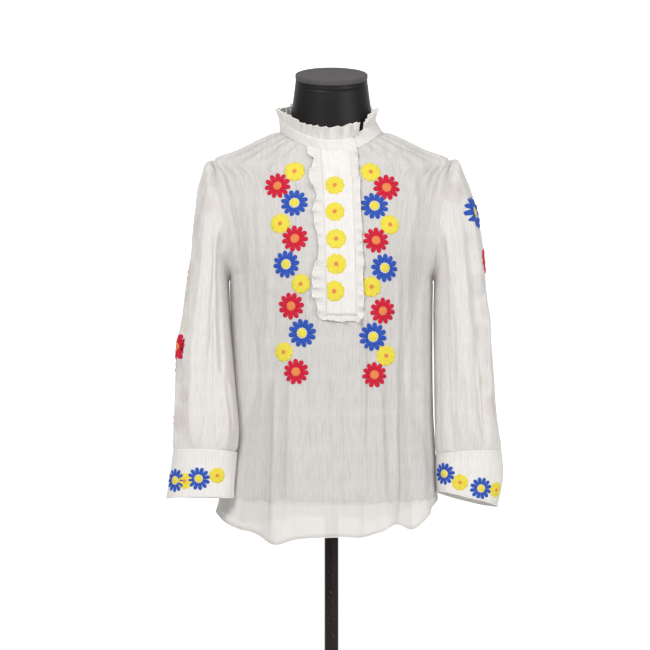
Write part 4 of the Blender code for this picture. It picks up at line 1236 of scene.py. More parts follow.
def stitch_tree():
    """Lays sewn stitches along runs of edges, each a short rounded thread."""
    tree, given, curve = path_tree(
        "stitch_row",
        ("Spacing", "Float", 0.003),
        ("Stitch Length", "Float", 0.0021),
        ("Thread Radius", "Float", 0.00022),
        ("Seed", "Int", 5),
    )
    spaced, tangent, turn, thread, shape, half, uneven, sized, placed = (
        tree.nodes.new(kind)
        for kind in (
            "GeometryNodeResampleCurve",
            "GeometryNodeInputTangent",
            "FunctionNodeAlignRotationToVector",
            "GeometryNodeMeshUVSphere",
            "ShaderNodeCombineXYZ",
            "ShaderNodeMath",
            "FunctionNodeRandomValue",
            "GeometryNodeTransform",
            "GeometryNodeInstanceOnPoints",
        )
    )
    spaced.mode, turn.axis, half.operation, uneven.data_type = "LENGTH", "Z", "MULTIPLY", "FLOAT"
    half.inputs[1].default_value = 0.5
    set_inputs(thread, {"Segments": 5, "Rings": 4, "Radius": 1.0})
    set_inputs(uneven, {"Min": 0.88, "Max": 1.08})
    wire(
        tree,
        (curve, "Curve", spaced, "Curve"),
        (given, "Spacing", spaced, "Length"),
        (given, "Stitch Length", half, 0),
        (given, "Thread Radius", shape, "X"),
        (given, "Thread Radius", shape, "Y"),
        (half, 0, shape, "Z"),
        (thread, "Mesh", sized, "Geometry"),
        (shape, "Vector", sized, "Scale"),
        (spaced, "Curve", placed, "Points"),
        (sized, "Geometry", placed, "Instance"),
        (tangent, "Tangent", turn, "Vector"),
        (turn, "Rotation", placed, "Rotation"),
        (given, "Seed", uneven, "Seed"),
        (uneven, "Value", placed, "Scale"),
    )
    return end_tree(tree, given, placed, "Instances")


def grown(name, runs, tree, **values):
    """A plain mesh object made by a tree of Geometry Nodes along runs of points."""
    points, edges = [], []
    for run, closed in runs:
        start = len(points)
        points += run.tolist()
        edges += [(start + i, start + i + 1) for i in range(len(run) - 1)]
        if closed:
            edges.append((len(points) - 1, start))
    mesh = bpy.data.meshes.new(name + "_path")
    mesh.from_pydata(points, edges, [])
    path = new_object(name + "_path", mesh)
    grower = path.modifiers.new("grown", "NODES")
    grower.node_group = tree
    sockets = {
        item.name: item.identifier
        for item in tree.interface.items_tree
        if item.item_type == "SOCKET" and item.in_out == "INPUT"
    }
    for key, value in values.items():
        grower[sockets[key.replace("_", " ")]] = value
    shaped = path.evaluated_get(bpy.context.evaluated_depsgraph_get())
    made = new_object(name, bpy.data.meshes.new_from_object(shaped))
    path.modifiers.remove(grower)
    bpy.data.objects.remove(path)
    if not made.data.polygons:
        raise RuntimeError(f"{name} came out empty")
    return made


def petal(length, half_width, crown, base):
    """A padded petal of satin stitch lying along +Y, round at its tip, closed underneath."""
    rows, columns = 11, 6
    s = np.sin(np.linspace(0, math.pi / 2, rows))
    s, t = np.meshgrid(s, np.linspace(-1, 1, columns), indexing="ij")
    past = np.maximum(s - PETAL_WIDEST, 0) / (1 - PETAL_WIDEST)
    round_tip = np.sqrt(np.maximum(1 - past**2, 0.004))
    width = half_width * (base + (1 - base) * smooth_step(0.0, PETAL_WIDEST, s)) * round_tip
    x, y = t * width, s * length
    ridge = np.sqrt(np.maximum(1 - t * t, 0)) * np.minimum(0.35 + 1.3 * s, 1) * round_tip
    top = np.stack((x, y, crown * ridge), -1).reshape(-1, 3)
    index = np.arange(rows * columns).reshape(rows, columns)
    corners = index[:-1, :-1], index[:-1, 1:], index[1:, 1:], index[1:, :-1]
    faces = [tuple(face) for face in np.stack(corners, -1).reshape(-1, 4)]
    rim = [*index[0, :], *index[1:, -1], *index[-1, -2::-1], *index[-2:0:-1, 0]]
    skirt = top[rim] + (0, 0, -PAD_SINKS)
    start, count = len(top), len(rim)
    for i in range(count):
        j = (i + 1) % count
        faces.append((rim[j], rim[i], start + i, start + j))
    faces.append(tuple(range(start + count - 1, start - 1, -1)))
    return np.concatenate((top, skirt)), faces


def turned_rings(profile, sides):
    """Rings of a round body: profile is radius and height."""
    turn = np.arange(sides) * 2 * math.pi / sides
    return np.array([
        np.stack((radius * np.cos(turn), radius * np.sin(turn), 0 * turn + height), -1)
        for radius, height in profile
    ])


def ring_faces(rings, count):
    """Quads between closed rings of points."""
    faces = []
    for low in range(0, (rings - 1) * count, count):
        for i in range(count):
            j = (i + 1) % count
            faces.append((low + i, low + j, low + count + j, low + count + i))
    return faces


def dome(radius, height, sides=14):
    """A small round pad, closed underneath."""
    rings = ((1.0, -PAD_SINKS), (1.0, 0.25 * height), (0.82, 0.68 * height), (0.45, 0.94 * height))
    rings = [(share * radius, rise) for share, rise in rings]
    points = [*turned_rings(rings, sides).reshape(-1, 3), (0.0, 0.0, height)]
    faces = [tuple(range(sides - 1, -1, -1)), *ring_faces(len(rings), sides)]
    last = (len(rings) - 1) * sides
    faces += [(last + i, last + (i + 1) % sides, len(points) - 1) for i in range(sides)]
    return np.array(points), faces


def turned(points, angle):
    """x and y of points, turned about the origin."""
    c, s = math.cos(angle), math.sin(angle)
    x, y = points[:, 0], points[:, 1]
    return np.stack((x * c - y * s, x * s + y * c), -1)


def blossom_parts(kind, size):
    """Pads of one flower: points, faces, thread and turn about the middle of each."""
    radius = size / 2
    parts = []

    def petals(count, inner, half_width, crown, thread, base):
        points, faces = petal((1 - inner) * radius, half_width * radius, crown, base)
        points = points + (0, inner * radius, 0)
        for k in range(count):
            turn = 2 * math.pi * k / count
            pad = np.column_stack((turned(points, turn), points[:, 2]))
            parts.append((pad, faces, thread, turn))

    def middle(share, height, thread, sides=14):
        points, faces = dome(share * radius, height, sides)
        parts.append((points, faces, thread, 0.0))

    if kind == "red":
        petals(11, 0.20, 0.186, 0.0011, RED, 0.55)
        middle(0.35, 0.0016, ORANGE)
    elif kind == "blue":
        petals(12, 0.24, 0.172, 0.0011, BLUE, 0.55)
        middle(0.41, 0.0011, PALE, 18)
        middle(0.33, 0.0018, YELLOW)
    else:
        petals(9, 0.10, 0.340, 0.0009, YELLOW, 0.40)
        middle(0.80, 0.0011, YELLOW, 24)
        middle(0.26, 0.0017, ORANGE)
    return parts


def embroidery(name, surface, blooms, materials):
    """Flowers laid on a surface. blooms are kind, row, column, size and turn."""
    points, faces, threads, maps = [], [], [], []
    total = 0
    for kind, row, column, size, turn in blooms:
        for flat, pad_faces, thread, petal_turn in blossom_parts(kind, size):
            out = flat[:, 2] + EMBROIDERY_LIFT
            points.append(surface.lay(row, column, turned(flat, turn), out))
            maps.append(turned(flat, -petal_turn) + (0.31 * len(maps) % 1.0, 0.0))
            faces += [tuple(int(total + v) for v in face) for face in pad_faces]
            threads += [thread] * len(pad_faces)
            total += len(flat)
    mesh = bpy.data.meshes.new(name)
    mesh.from_pydata(np.concatenate(points).tolist(), [], faces)
    for thread in THREADS:
        mesh.materials.append(materials[thread])
    mesh.polygons.foreach_set("material_index", threads)
    layer = mesh.uv_layers.new(name="UVMap")
    corners = np.empty(len(mesh.loops), dtype=np.int32)
    mesh.loops.foreach_get("vertex_index", corners)
    layer.data.foreach_set("uv", np.concatenate(maps)[corners].astype(np.float32).ravel())
    mesh.shade_smooth()
    return new_object(name, mesh)


def nearest_cell(surface, x, z, toward):
    """Row and column of a surface whose point is nearest to x and z on the side toward -Y or +Y."""
    points = surface.points
    apart = (points[..., 0] - x) ** 2 + (points[..., 2] - z) ** 2
    apart = apart + 10.0 * (surface.outward[..., 1] * toward > 0)
    row, column = np.unravel_index(np.argmin(apart), apart.shape)
    row, column = min(max(int(row), 1), len(points) - 3), int(column)
    e_column, e_row, _ = surface.steps(float(row), float(column))
    grip = np.array([[e_column[0], e_row[0]], [e_column[2], e_row[2]]])
    miss = np.array((x - points[row, column, 0], z - points[row, column, 2]))
    shift = np.clip(np.linalg.inv(grip) @ miss, -2, 2)
    return row + shift[1], column + shift[0]


def form_mesh(name, rings):
    """Closed body through rings of points, with flat ends."""
    count = rings.shape[1]
    faces = ring_faces(len(rings), count)
    faces += [tuple(range(count)), tuple(range((len(rings) - 1) * count, len(rings) * count))]
    mesh = bpy.data.meshes.new(name)
    mesh.from_pydata(rings.reshape(-1, 3).tolist(), [], faces)
    build = bmesh.new()
    build.from_mesh(mesh)
    bmesh.ops.recalc_face_normals(build, faces=build.faces)
    build.to_mesh(mesh)
    build.free()
    mesh.shade_smooth()
    mesh.set_sharp_from_angle(angle=math.radians(32))
    return mesh


# Hard finishes: roughness, metal, scale and bump of the grain, and dust
FINISHES = {
    "form_satin": (0.46, 0.0, 1400.0, 0.25, 0.06),
    "cap_plastic": (0.62, 0.0, 700.0, 0.15, 0.25),
    "stand_enamel": (0.34, 0.0, 500.0, 0.2, 0.5),
}


def hard_piece(name, rings, finish, colour, slot, node):
    """A hard body of one finish that stands for a node of the solids."""
    piece = new_object(name, form_mesh(name, rings))
    look = made_once(finish, hard_material, tuple(colour), *FINISHES[finish])
    piece.data.materials.append(look)
    finished(piece, slot, node)


FORM_SIDES = 128


def form_ring(ring, angle):
    c, s = np.cos(angle), np.sin(angle)
    depth = np.where(c > 0, ring.front, ring.back)
    z_middle = np.where(c > 0, ring.z_front, ring.z_back)
    z = ring.z_side + (z_middle - ring.z_side) * np.abs(c) ** ring.flat
    return np.stack((ring.half_width * s, ring.y_side - depth * c, z), -1)


def rounded(profile, radius, steps=4):
    """A profile with its inner corners rounded off."""
    points = [np.array(p, dtype=float) for p in profile]
    made = [points[0]]
    for before, here, after in zip(points, points[1:], points[2:]):
        a, b = before - here, after - here
        reach = min(radius, np.linalg.norm(a) / 2.2, np.linalg.norm(b) / 2.2)
        start, end = here + a / np.linalg.norm(a) * reach, here + b / np.linalg.norm(b) * reach
        for f in np.linspace(0, 1, steps):
            made.append(start * (1 - f) ** 2 + here * 2 * f * (1 - f) + end * f * f)
    return made + [points[-1]]


def node_group(name, inputs, outputs):
    group = bpy.data.node_groups.new(name, "ShaderNodeTree")
    for label, kind, default in inputs:
        add_socket(group, label, kind, default)
    for label, kind in outputs:
        add_socket(group, label, kind, way="OUTPUT")
    return group, group.nodes.new("NodeGroupInput"), group.nodes.new("NodeGroupOutput")


def math_node(tree, operation, a, b=None):
    node = tree.nodes.new("ShaderNodeMath")
    node.operation = operation
    for socket, value in zip(node.inputs, (a, b)):
        if isinstance(value, (int, float)):
            socket.default_value = value
        elif value is not None:
            tree.links.new(value, socket)
    return node.outputs[0]


def set_inputs(node, values):
    for socket, value in values.items():
        node.inputs[socket].default_value = value


def noise_node(tree, vector, scale, detail=2.0):
    node = tree.nodes.new("ShaderNodeTexNoise")
    tree.links.new(vector, node.inputs["Vector"])
    set_inputs(node, {"Scale": scale, "Detail": detail, "Roughness": 0.55})
    return node.outputs["Fac"]


def stretched(tree, vector, across, along):
    node = tree.nodes.new("ShaderNodeMapping")
    tree.links.new(vector, node.inputs["Vector"])
    node.inputs["Scale"].default_value = (across, along, 1.0)
    return node.outputs["Vector"]


def times(tree, value, factor):
    return math_node(tree, "MULTIPLY", value, factor)


def ridges(tree, value):
    """Sharp ridges where a noise passes its middle."""
    away = math_node(tree, "ABSOLUTE", math_node(tree, "SUBTRACT", value, 0.5))
    return math_node(tree, "SUBTRACT", 1.0, times(tree, away, 4.0))


def gauze_group():
    """Crinkle, fine streaks and plain weave of cotton gauze, from a UV map in metres. The streak
    follows the crinkle ridges and also carries painted shade.
    """
    group, given, result = node_group(
        "cotton_gauze",
        [("Cloth Position", "NodeSocketVector", None)],
        [("Height", "NodeSocketFloat"), ("Streak_and_Shade", "NodeSocketFloat"), ("Blotch", "NodeSocketFloat")],
    )
    place = given.outputs["Cloth Position"]
    ridge = ridges(group, noise_node(group, stretched(group, place, 190, 17), 1.0))
    thin = ridges(group, noise_node(group, stretched(group, place, 520, 34), 1.0))
    weave = []
    for turn in (0.0, math.pi / 2):
        wave = group.nodes.new("ShaderNodeTexWave")
        spin = group.nodes.new("ShaderNodeMapping")
        spin.inputs["Rotation"].default_value = (0, 0, turn)
        group.links.new(place, spin.inputs["Vector"])
        group.links.new(spin.outputs["Vector"], wave.inputs["Vector"])
        set_inputs(wave, {"Scale": 560.0, "Distortion": 0.6})
        weave.append(wave.outputs["Fac"])
    cloth = times(group, math_node(group, "ADD", *weave), 0.06)
    height = math_node(group, "ADD", times(group, ridge, 0.55), cloth)
    height = math_node(group, "ADD", height, times(group, thin, 0.3))
    streak_and_shade = times(group, math_node(group, "ADD", ridge, thin), 0.5)
    blotch = noise_node(group, place, 38.0, 3.0)
    for label, value in (("Height", height), ("Streak_and_Shade", streak_and_shade), ("Blotch", blotch)):
        group.links.new(value, result.inputs[label])
    return group


def satin_group():
    """Parallel threads of satin stitch, with small changes of height and shade."""
    group, given, result = node_group(
        "satin_stitch",
        [("Thread Position", "NodeSocketVector", None)],
        [("Height", "NodeSocketFloat"), ("Shade", "NodeSocketFloat")],
    )
    place = given.outputs["Thread Position"]
    wave = group.nodes.new("ShaderNodeTexWave")
    set_inputs(wave, {"Scale": 620.0, "Distortion": 1.2, "Detail": 1.0})
    group.links.new(place, wave.inputs["Vector"])
    uneven = noise_node(group, stretched(group, place, 900, 110), 1.0)
    height = times(group, wave.outputs["Fac"], 0.7)
    height = math_node(group, "ADD", height, times(group, uneven, 0.3))
    group.links.new(height, result.inputs["Height"])
    group.links.new(uneven, result.inputs["Shade"])
    return group


def wear_group():
    """Dust, rub marks and a fine grain, from object coordinates."""
    group, given, result = node_group(
        "wear_and_dust",
        [("Position", "NodeSocketVector", None), ("Grain Scale", "NodeSocketFloat", 900.0)],
        [("Grain", "NodeSocketFloat"), ("Rub", "NodeSocketFloat"), ("Dust", "NodeSocketFloat")],
    )
    place = given.outputs["Position"]
    grain = group.nodes.new("ShaderNodeTexNoise")
    group.links.new(place, grain.inputs["Vector"])
    group.links.new(given.outputs["Grain Scale"], grain.inputs["Scale"])
    rub = noise_node(group, place, 22.0, 4.0)
    speck = noise_node(group, place, 320.0, 3.0)
    dust = math_node(group, "GREATER_THAN", speck, 0.69)
    group.links.new(grain.outputs["Fac"], result.inputs["Grain"])
    group.links.new(rub, result.inputs["Rub"])
    group.links.new(dust, result.inputs["Dust"])
    return group


def shared_group(name, maker):
    return bpy.data.node_groups.get(name) or maker()


def fresh_material(name):
    made = bpy.data.materials.new(name)
    made.use_nodes = True
    return made, made.node_tree, made.node_tree.nodes["Principled BSDF"]


def placed_group(tree, group, source, socket):
    node = tree.nodes.new("ShaderNodeGroup")
    node.node_tree = group
    place = tree.nodes.new("ShaderNodeTexCoord")
    tree.links.new(place.outputs[source], node.inputs[socket])
    return node


def mixed(tree, mask, colour_a, colour_b):
    node = tree.nodes.new("ShaderNodeMix")
    node.data_type = "RGBA"
    tree.links.new(mask, node.inputs["Factor"])
    for socket, colour in ((node.inputs["A"], colour_a), (node.inputs["B"], colour_b)):
        if hasattr(colour, "is_linked"):
            tree.links.new(colour, socket)
        else:
            socket.default_value = (*colour, 1.0)
    return node.outputs["Result"]


def ranged(tree, value, low, high):
    node = tree.nodes.new("ShaderNodeMapRange")
    tree.links.new(value, node.inputs["Value"])
    set_inputs(node, {"To Min": low, "To Max": high})
    return node.outputs["Result"]


def bumped(tree, height, distance, strength, shader):
    node = tree.nodes.new("ShaderNodeBump")
    set_inputs(node, {"Distance": distance, "Strength": strength})
    tree.links.new(height, node.inputs["Height"])
    tree.links.new(node.outputs["Normal"], shader.inputs["Normal"])


def shaded(colour, by):
    return tuple(max(0.0, min(1.0, c * by)) for c in colour)


def cotton_material(name, colour, opacity, crinkle_bump):
    """Sheer crinkled cotton. opacity is that of the whole cloth, which has two faces."""
    made, tree, shader = fresh_material(name)
    gauze = placed_group(tree, shared_group("cotton_gauze", gauze_group), "UV", "Cloth Position")
    # Colour lighter on the crinkle ridges and darker in the hollows between them: painted shade.
    crinkle_shaded = mixed(tree, gauze.outputs["Streak_and_Shade"], shaded(colour, 0.965), shaded(colour, 1.02))
    toned = mixed(tree, gauze.outputs["Blotch"], shaded(colour, 0.985), crinkle_shaded)
    if opacity < 1.0:
        doubled = tree.nodes.new("ShaderNodeAttribute")
        doubled.attribute_name = "doubled"
        # Where the cloth is marked as doubled its colour is darkened: painted shade for the light
        # that does not come through from behind.
        toned = mixed(tree, doubled.outputs["Fac"], toned, shaded(colour, 0.92))
    tree.links.new(toned, shader.inputs["Base Color"])
    set_inputs(shader, {"Roughness": 0.92, "Sheen Weight": 0.12, "Sheen Roughness": 0.5})
    set_inputs(shader, {"Specular IOR Level": 0.2})
    if opacity < 1.0:
        face = 1 - math.sqrt(1 - opacity)
        alpha = ranged(tree, gauze.outputs["Streak_and_Shade"], face - 0.07, min(face + 0.10, 1.0))
        alpha = math_node(tree, "MAXIMUM", alpha, times(tree, doubled.outputs["Fac"], 0.80))
        tree.links.new(alpha, shader.inputs["Alpha"])
    bumped(tree, gauze.outputs["Height"], 0.0006, crinkle_bump, shader)
    return made


def thread_material(name, colour):
    made, tree, shader = fresh_material(name)
    satin = placed_group(tree, shared_group("satin_stitch", satin_group), "UV", "Thread Position")
    tone = mixed(tree, satin.outputs["Shade"], shaded(colour, 0.74), shaded(colour, 1.22))
    tree.links.new(tone, shader.inputs["Base Color"])
    set_inputs(shader, {"Roughness": 0.62, "Specular IOR Level": 0.18})
    bumped(tree, satin.outputs["Height"], 0.0003, 0.8, shader)
    return made


def hard_material(name, colour, roughness, metallic, grain_scale, grain_bump, dust):
    """A finish with a fine grain, rubbed patches and a little dust."""
    made, tree, shader = fresh_material(name)
    wear = placed_group(tree, shared_group("wear_and_dust", wear_group), "Object", "Position")
    wear.inputs["Grain Scale"].default_value = grain_scale
    tone = mixed(tree, wear.outputs["Rub"], shaded(colour, 0.8), shaded(colour, 1.25))
    dusty = mixed(tree, times(tree, wear.outputs["Dust"], dust), tone, (0.32, 0.30, 0.28))
    tree.links.new(dusty, shader.inputs["Base Color"])
    rough = ranged(tree, wear.outputs["Rub"], roughness - 0.07, roughness + 0.10)
    tree.links.new(rough, shader.inputs["Roughness"])
    set_inputs(shader, {"Metallic": metallic, "Specular IOR Level": 0.22})
    bumped(tree, wear.outputs["Grain"], 0.0002, grain_bump, shader)
    return made


def made_once(name, maker, *values):
    return bpy.data.materials.get(name) or maker(name, *values)


def colour_setting(name, description, default):
    return bpy.props.FloatVectorProperty(
        name=name,
        description=description,
        subtype="COLOR",
        size=3,
        min=0.0,
        max=1.0,
        default=default,
    )


def length_setting(name, description, default, low, high):
    return bpy.props.FloatProperty(
        name=name,
        description=description,
        unit="LENGTH",
        precision=5,
        min=low,
        max=high,
        default=default,
    )


class ClothSettings(bpy.types.PropertyGroup):
    colour: colour_setting("Cotton colour", "Colour of the cotton gauze", (0.86, 0.83, 0.80))
    opacity: bpy.props.FloatProperty(
        name="Opacity",
        description="How much one layer of the gauze covers",
        subtype="FACTOR",
        min=0.2,
        max=1.0,
        default=0.735,
    )
    thickness: length_setting(
        "Thickness", "Thickness of one layer of the gauze", 0.0005, 0.0002, 0.001
    )
    crinkle: length_setting(
        "Crinkle height", "Height of the long narrow creases of the gauze", 0.0005, 0.0, 0.0012
    )
    spacing: length_setting(
        "Crinkle spacing", "Distance between creases across the cloth", 0.0046, 0.003, 0.02
    )


class FlowerSettings(bpy.types.PropertyGroup):
    yellow: colour_setting("Yellow thread", "Colour of the yellow flowers", (0.97, 0.74, 0.075))
    red: colour_setting("Red thread", "Colour of the red flowers", (0.66, 0.014, 0.046))
    blue: colour_setting("Blue thread", "Colour of the blue flowers", (0.030, 0.098, 0.50))
    yellow_size: length_setting("Yellow flower", "Width of a yellow flower", 0.0335, 0.01, 0.05)
    red_size: length_setting("Red flower", "Width of a red flower", 0.0435, 0.01, 0.06)
    blue_size: length_setting("Blue flower", "Width of a blue flower", 0.0465, 0.01, 0.06)


class SewingSettings(bpy.types.PropertyGroup):
    hem_radius: length_setting(
        "Rolled hem", "Radius of the narrow rolled hems", 0.0008, 0.0003, 0.002
    )
    seam_radius: length_setting("Seam", "Radius of the ridge along a seam", 0.0007, 0.0003, 0.002)
    stitch_spacing: length_setting(
        "Stitch spacing", "Distance from one stitch to the next", 0.003, 0.001, 0.01
    )


class FormSettings(bpy.types.PropertyGroup):
    form: colour_setting("Form", "Colour of the covered form", (0.0105, 0.009, 0.0095))
    cap: colour_setting("Neck cap", "Colour of the cap on the neck", (0.085, 0.078, 0.080))
    stand: colour_setting("Stand", "Colour of the pole and base", (0.018, 0.0115, 0.0105))


class StageSettings(bpy.types.PropertyGroup):
    floor: colour_setting("Floor", "Colour of the floor and backdrop", (0.82, 0.82, 0.82))
    key: bpy.props.FloatProperty(
        name="Key light", description="Power of the large front light", unit="POWER", default=70.0
    )
    around: bpy.props.FloatProperty(
        name="Room light", description="Strength of the light from all round", default=0.40
    )
    glow: bpy.props.FloatProperty(
        name="Backdrop glow", description="How brightly the lit backdrop shines", default=0.68
    )


SETTINGS = {
    "blouse_cloth": ClothSettings,
    "blouse_flowers": FlowerSettings,
    "blouse_sewing": SewingSettings,
    "blouse_form": FormSettings,
    "blouse_stage": StageSettings,
}


def settings(name):
    return getattr(bpy.context.scene, "blouse_" + name)


# Cottons: share of the colour, opacity, which is None for the setting's own, and bump
COTTONS = {
    "cotton": (1.0, None, 0.5),
    "cotton_doubled": (0.99, 0.96, 0.6),
    "cotton_seam": (0.98, 1.0, 0.3),
    "cotton_ruffle": (1.0, 0.90, 0.6),
}


def cotton(name="cotton"):
    """A cotton of the table, made when it is first asked for."""
    cloth = settings("cloth")
    share, opacity, bump = COTTONS[name]
    return made_once(
        name, cotton_material, shaded(cloth.colour, share), opacity or cloth.opacity, bump
    )


def threads():
    flowers = settings("flowers")
    colours = {
        "thread_yellow": flowers.yellow,
        "thread_red": flowers.red,
        "thread_blue": flowers.blue,
        "thread_orange": (0.86, 0.27, 0.085),
        "thread_pale": (0.80, 0.70, 0.50),
        "thread_white": (0.85, 0.83, 0.80),
    }
    return {name: made_once(name, thread_material, tuple(c)) for name, c in colours.items()}


def panel(side, fine=True):
    cloth = settings("cloth")
    return panel_surface(side, cloth.crinkle, cloth.spacing, fine)


SLEEVES = {
    "right": (RIGHT_SLEEVE, RIGHT_CREASES, RIGHT_SLEEVE_LINES, RIGHT_CUFF, 1),
    "left": (LEFT_SLEEVE, LEFT_CREASES, LEFT_SLEEVE_LINES, LEFT_CUFF, -1),
}


def sleeve(side, fine=True):
    rings, creases, lines, _, hand = SLEEVES[side]
    cloth = settings("cloth")
    return sleeve_surface(
        rings, creases, lines, hand, cloth.crinkle, cloth.spacing, cloth.thickness, fine
    )


def cuff(side):
    rings, _, _, cuff_rings, hand = SLEEVES[side]
    return cuff_surface(rings[-1], cuff_rings, hand)


class MakePanels(bpy.types.Operator):
    """Makes the front and back of the blouse"""

    bl_idname = "blouse.make_panels"
    bl_label = "Front and back"

    def execute(self, context):
        for side, node, bands in ((1, "front", DOUBLED_FRONT), (-1, "back", DOUBLED_BACK)):
            piece = cloth_piece(node, node, panel(side), bands=bands)
        return {"FINISHED"}


class MakeSleeves(bpy.types.Operator):
    """Makes the two sleeves"""

    bl_idname = "blouse.make_sleeves"
    bl_label = "Sleeves"

    def execute(self, context):
        for side in SLEEVES:
            node = "sleeve_" + side
            piece = cloth_piece(node, node, sleeve(side))
        return {"FINISHED"}


class MakeCuffs(bpy.types.Operator):
    """Makes the cuffs of doubled cotton"""

    bl_idname = "blouse.make_cuffs"
    bl_label = "Cuffs"

    def execute(self, context):
        for side in SLEEVES:
            node = "cuff_" + side
            piece = cloth_piece(node, node, cuff(side), "cotton_doubled")
        return {"FINISHED"}


class MakeCollar(bpy.types.Operator):
    """Makes the stand collar and its crimped ruffle"""

    bl_idname = "blouse.make_collar"
    bl_label = "Collar and ruffle"

    def execute(self, context):
        band = cloth_piece("collar", "collar_band", collar_surface(), "cotton_doubled")
        node = "collar_ruffle"
        ruffle = cloth_piece(node, node, collar_ruffle_surface(), "cotton_ruffle")
        return {"FINISHED"}


class MakePlacket(bpy.types.Operator):
    """Makes the front placket and the ruffle round it"""

    bl_idname = "blouse.make_placket"
    bl_label = "Placket and ruffle"

    def execute(self, context):
        band = cloth_piece("placket", "placket", placket_surface(), "cotton_doubled")
        node = "placket_ruffle"
        ruffle = cloth_piece(node, node, placket_ruffle_surface(), "cotton_ruffle")
        return {"FINISHED"}


class MakeEmbroidery(bpy.types.Operator):
    """Lays the embroidered flowers on the front, placket, sleeves and cuffs"""

    bl_idname = "blouse.make_embroidery"
    bl_label = "Embroidered flowers"

    def execute(self, context):
        flowers = settings("flowers")
        sizes = {"yellow": flowers.yellow_size, "red": flowers.red_size, "blue": flowers.blue_size}
        picked = threads()
        chance = np.random.default_rng(17)

        def sized(kind, share=1.0):
            return sizes[kind] * share * chance.uniform(0.96, 1.04), chance.uniform(0, 2 * math.pi)

        laid = []
        for name, surface, table in (
            ("flowers_front", panel(1, fine=False)[0], FRONT_BLOOMS),
            ("flowers_placket", placket_surface()[0], PLACKET_BLOOMS),
        ):
            blooms = [
                (b.kind, *nearest_cell(surface, b.x, b.z, 1), *sized(b.kind)) for b in table
            ]
            laid.append(embroidery(name, surface, blooms, picked))
        for side in SLEEVES:
            laid.append(self.sleeve_flowers(side, sized, picked))
            laid.append(self.cuff_flowers(side, sized, picked))
        for piece in laid:
            finished(piece, "crinkled_cotton")
        return {"FINISHED"}

    def sleeve_flowers(self, side, sized, picked):
        """One zigzag column down the sleeve's outer line, turned a little to the back."""
        surface = sleeve(side, fine=False)[0]
        top, forward = SLEEVE_FLOWERS[side]
        rows, blooms = np.arange(SLEEVE_ROWS - 1.0), []
        for k in range(SLEEVE_FLOWER_COUNT):
            angle, share = forward.get(k, (SLEEVE_FLOWER_BEHIND[k % 2], 1.0))
            column = angle * SLEEVE_SPANS / 360 % SLEEVE_SPANS
            height = top - k * SLEEVE_FLOWER_SPACING
            line = surface.at(rows, column)[:, 2]
            row = float(np.interp(-height, -line, rows))
            kind = ("yellow", "red", "blue")[k % 3]
            blooms.append((kind, row, column, *sized(kind, share)))
        return embroidery("flowers_sleeve_" + side, surface, blooms, picked)

    def cuff_flowers(self, side, sized, picked):
        surface, share = cuff(side)[0], CUFF_FLOWER_SHARE
        front, behind = CUFF_FLOWERS[side]
        blooms = [
            (b.kind, *nearest_cell(surface, b.x, b.z, 1), *sized(b.kind, share)) for b in front
        ]
        for k, step in enumerate(behind):
            kind = "yellow" if k % 2 else "blue"
            row = CUFF_ROWS * (0.50 + 0.04 * (1 if k % 2 else -1))
            blooms.append((kind, row, step * CUFF_FINENESS, *sized(kind, share)))
        return embroidery("flowers_cuff_" + side, surface, blooms, picked)


# Rows and columns of the grids that the stitches run on, in from the edges
STITCH_LIFT, STITCH_SHARE = 0.0001, 0.72
HEM_STITCH_ROW = 0.55
CUFF_STITCH_ROWS = (0.8, CUFF_ROWS - 2.0)
COLLAR_STITCH_ROWS = (1.4, 12.6)
PLACKET_STITCH_IN = 1.2


class MakeSewing(bpy.types.Operator):
    """Makes the seams, rolled hems and stitches"""

    bl_idname = "blouse.make_sewing"
    bl_label = "Seams, hems and stitches"

    def execute(self, context):
        sewing, wall = settings("sewing"), settings("cloth").thickness
        inside, on_top = DOUBLED_THICKNESS / 2, DOUBLED_THICKNESS + STITCH_LIFT
        hems, seams, sewn = [], [], []
        columns = np.arange(0.0, PANEL_SPANS + 0.01, 1.0)
        for side in (1, -1):
            surface = panel(side)[0]
            hems.append((surface.at(0.0, columns, wall / 2), False))
            sewn.append((surface.at(HEM_STITCH_ROW, columns, wall + STITCH_LIFT), False))
            if side > 0:
                rows = np.arange(0.0, grid_row(side, float(ARMPIT)), 1.5)
                for edge in (0.0, float(PANEL_SPANS)):
                    seams.append((surface.at(rows, edge, wall / 2), False))
        for side in SLEEVES:
            surface = sleeve(side)[0]
            around, down = np.arange(0.0, SLEEVE_SPANS), np.arange(0.0, SLEEVE_ROWS - 1.0)
            seams.append((surface.at(0.0, around, wall / 2), True))
            seams.append((surface.at(down, SLEEVE_SPANS / 2, -wall), False))
            surface = cuff(side)[0]
            along = np.arange(0.0, surface.points.shape[1] - 1.001, 1.0)
            seams.append((surface.at(0.0, along, inside), False))
            hems.append((surface.at(CUFF_ROWS - 1.001, along, inside), False))
            for row in CUFF_STITCH_ROWS:
                sewn.append((surface.at(row, along, on_top), False))
        surface = collar_surface()[0]
        along = np.arange(0.0, surface.points.shape[1] - 1.0)
        for row in (0.0, COLLAR_HEIGHT_ROWS - 1.01):
            seams.append((surface.at(row, along, inside), False))
        for row in COLLAR_STITCH_ROWS:
            sewn.append((surface.at(row, along, on_top), False))
        surface, up = placket_surface()[0], np.arange(0.0, PLACKET_ROWS - 1.0)
        for column in (PLACKET_STITCH_IN, PLACKET_SPANS - PLACKET_STITCH_IN):
            sewn.append((surface.at(up, column, on_top), False))
        for ruffle in (collar_ruffle_surface, placket_ruffle_surface):
            hems.append((ruffle()[0].points[-1], False))
        tube, look = tube_tree(), cotton("cotton_seam")
        pieces = [
            grown("rolled_hems", hems, tube, Radius=sewing.hem_radius, Sides=6, Material=look),
            grown("seams", seams, tube, Radius=sewing.seam_radius, Sides=6, Material=look),
            grown(
                "stitches",
                sewn,
                stitch_tree(),
                Spacing=sewing.stitch_spacing,
                Stitch_Length=sewing.stitch_spacing * STITCH_SHARE,
                Material=threads()["thread_white"],
            ),
        ]
        for piece in pieces:
            finished(piece, "crinkled_cotton")
        return {"FINISHED"}


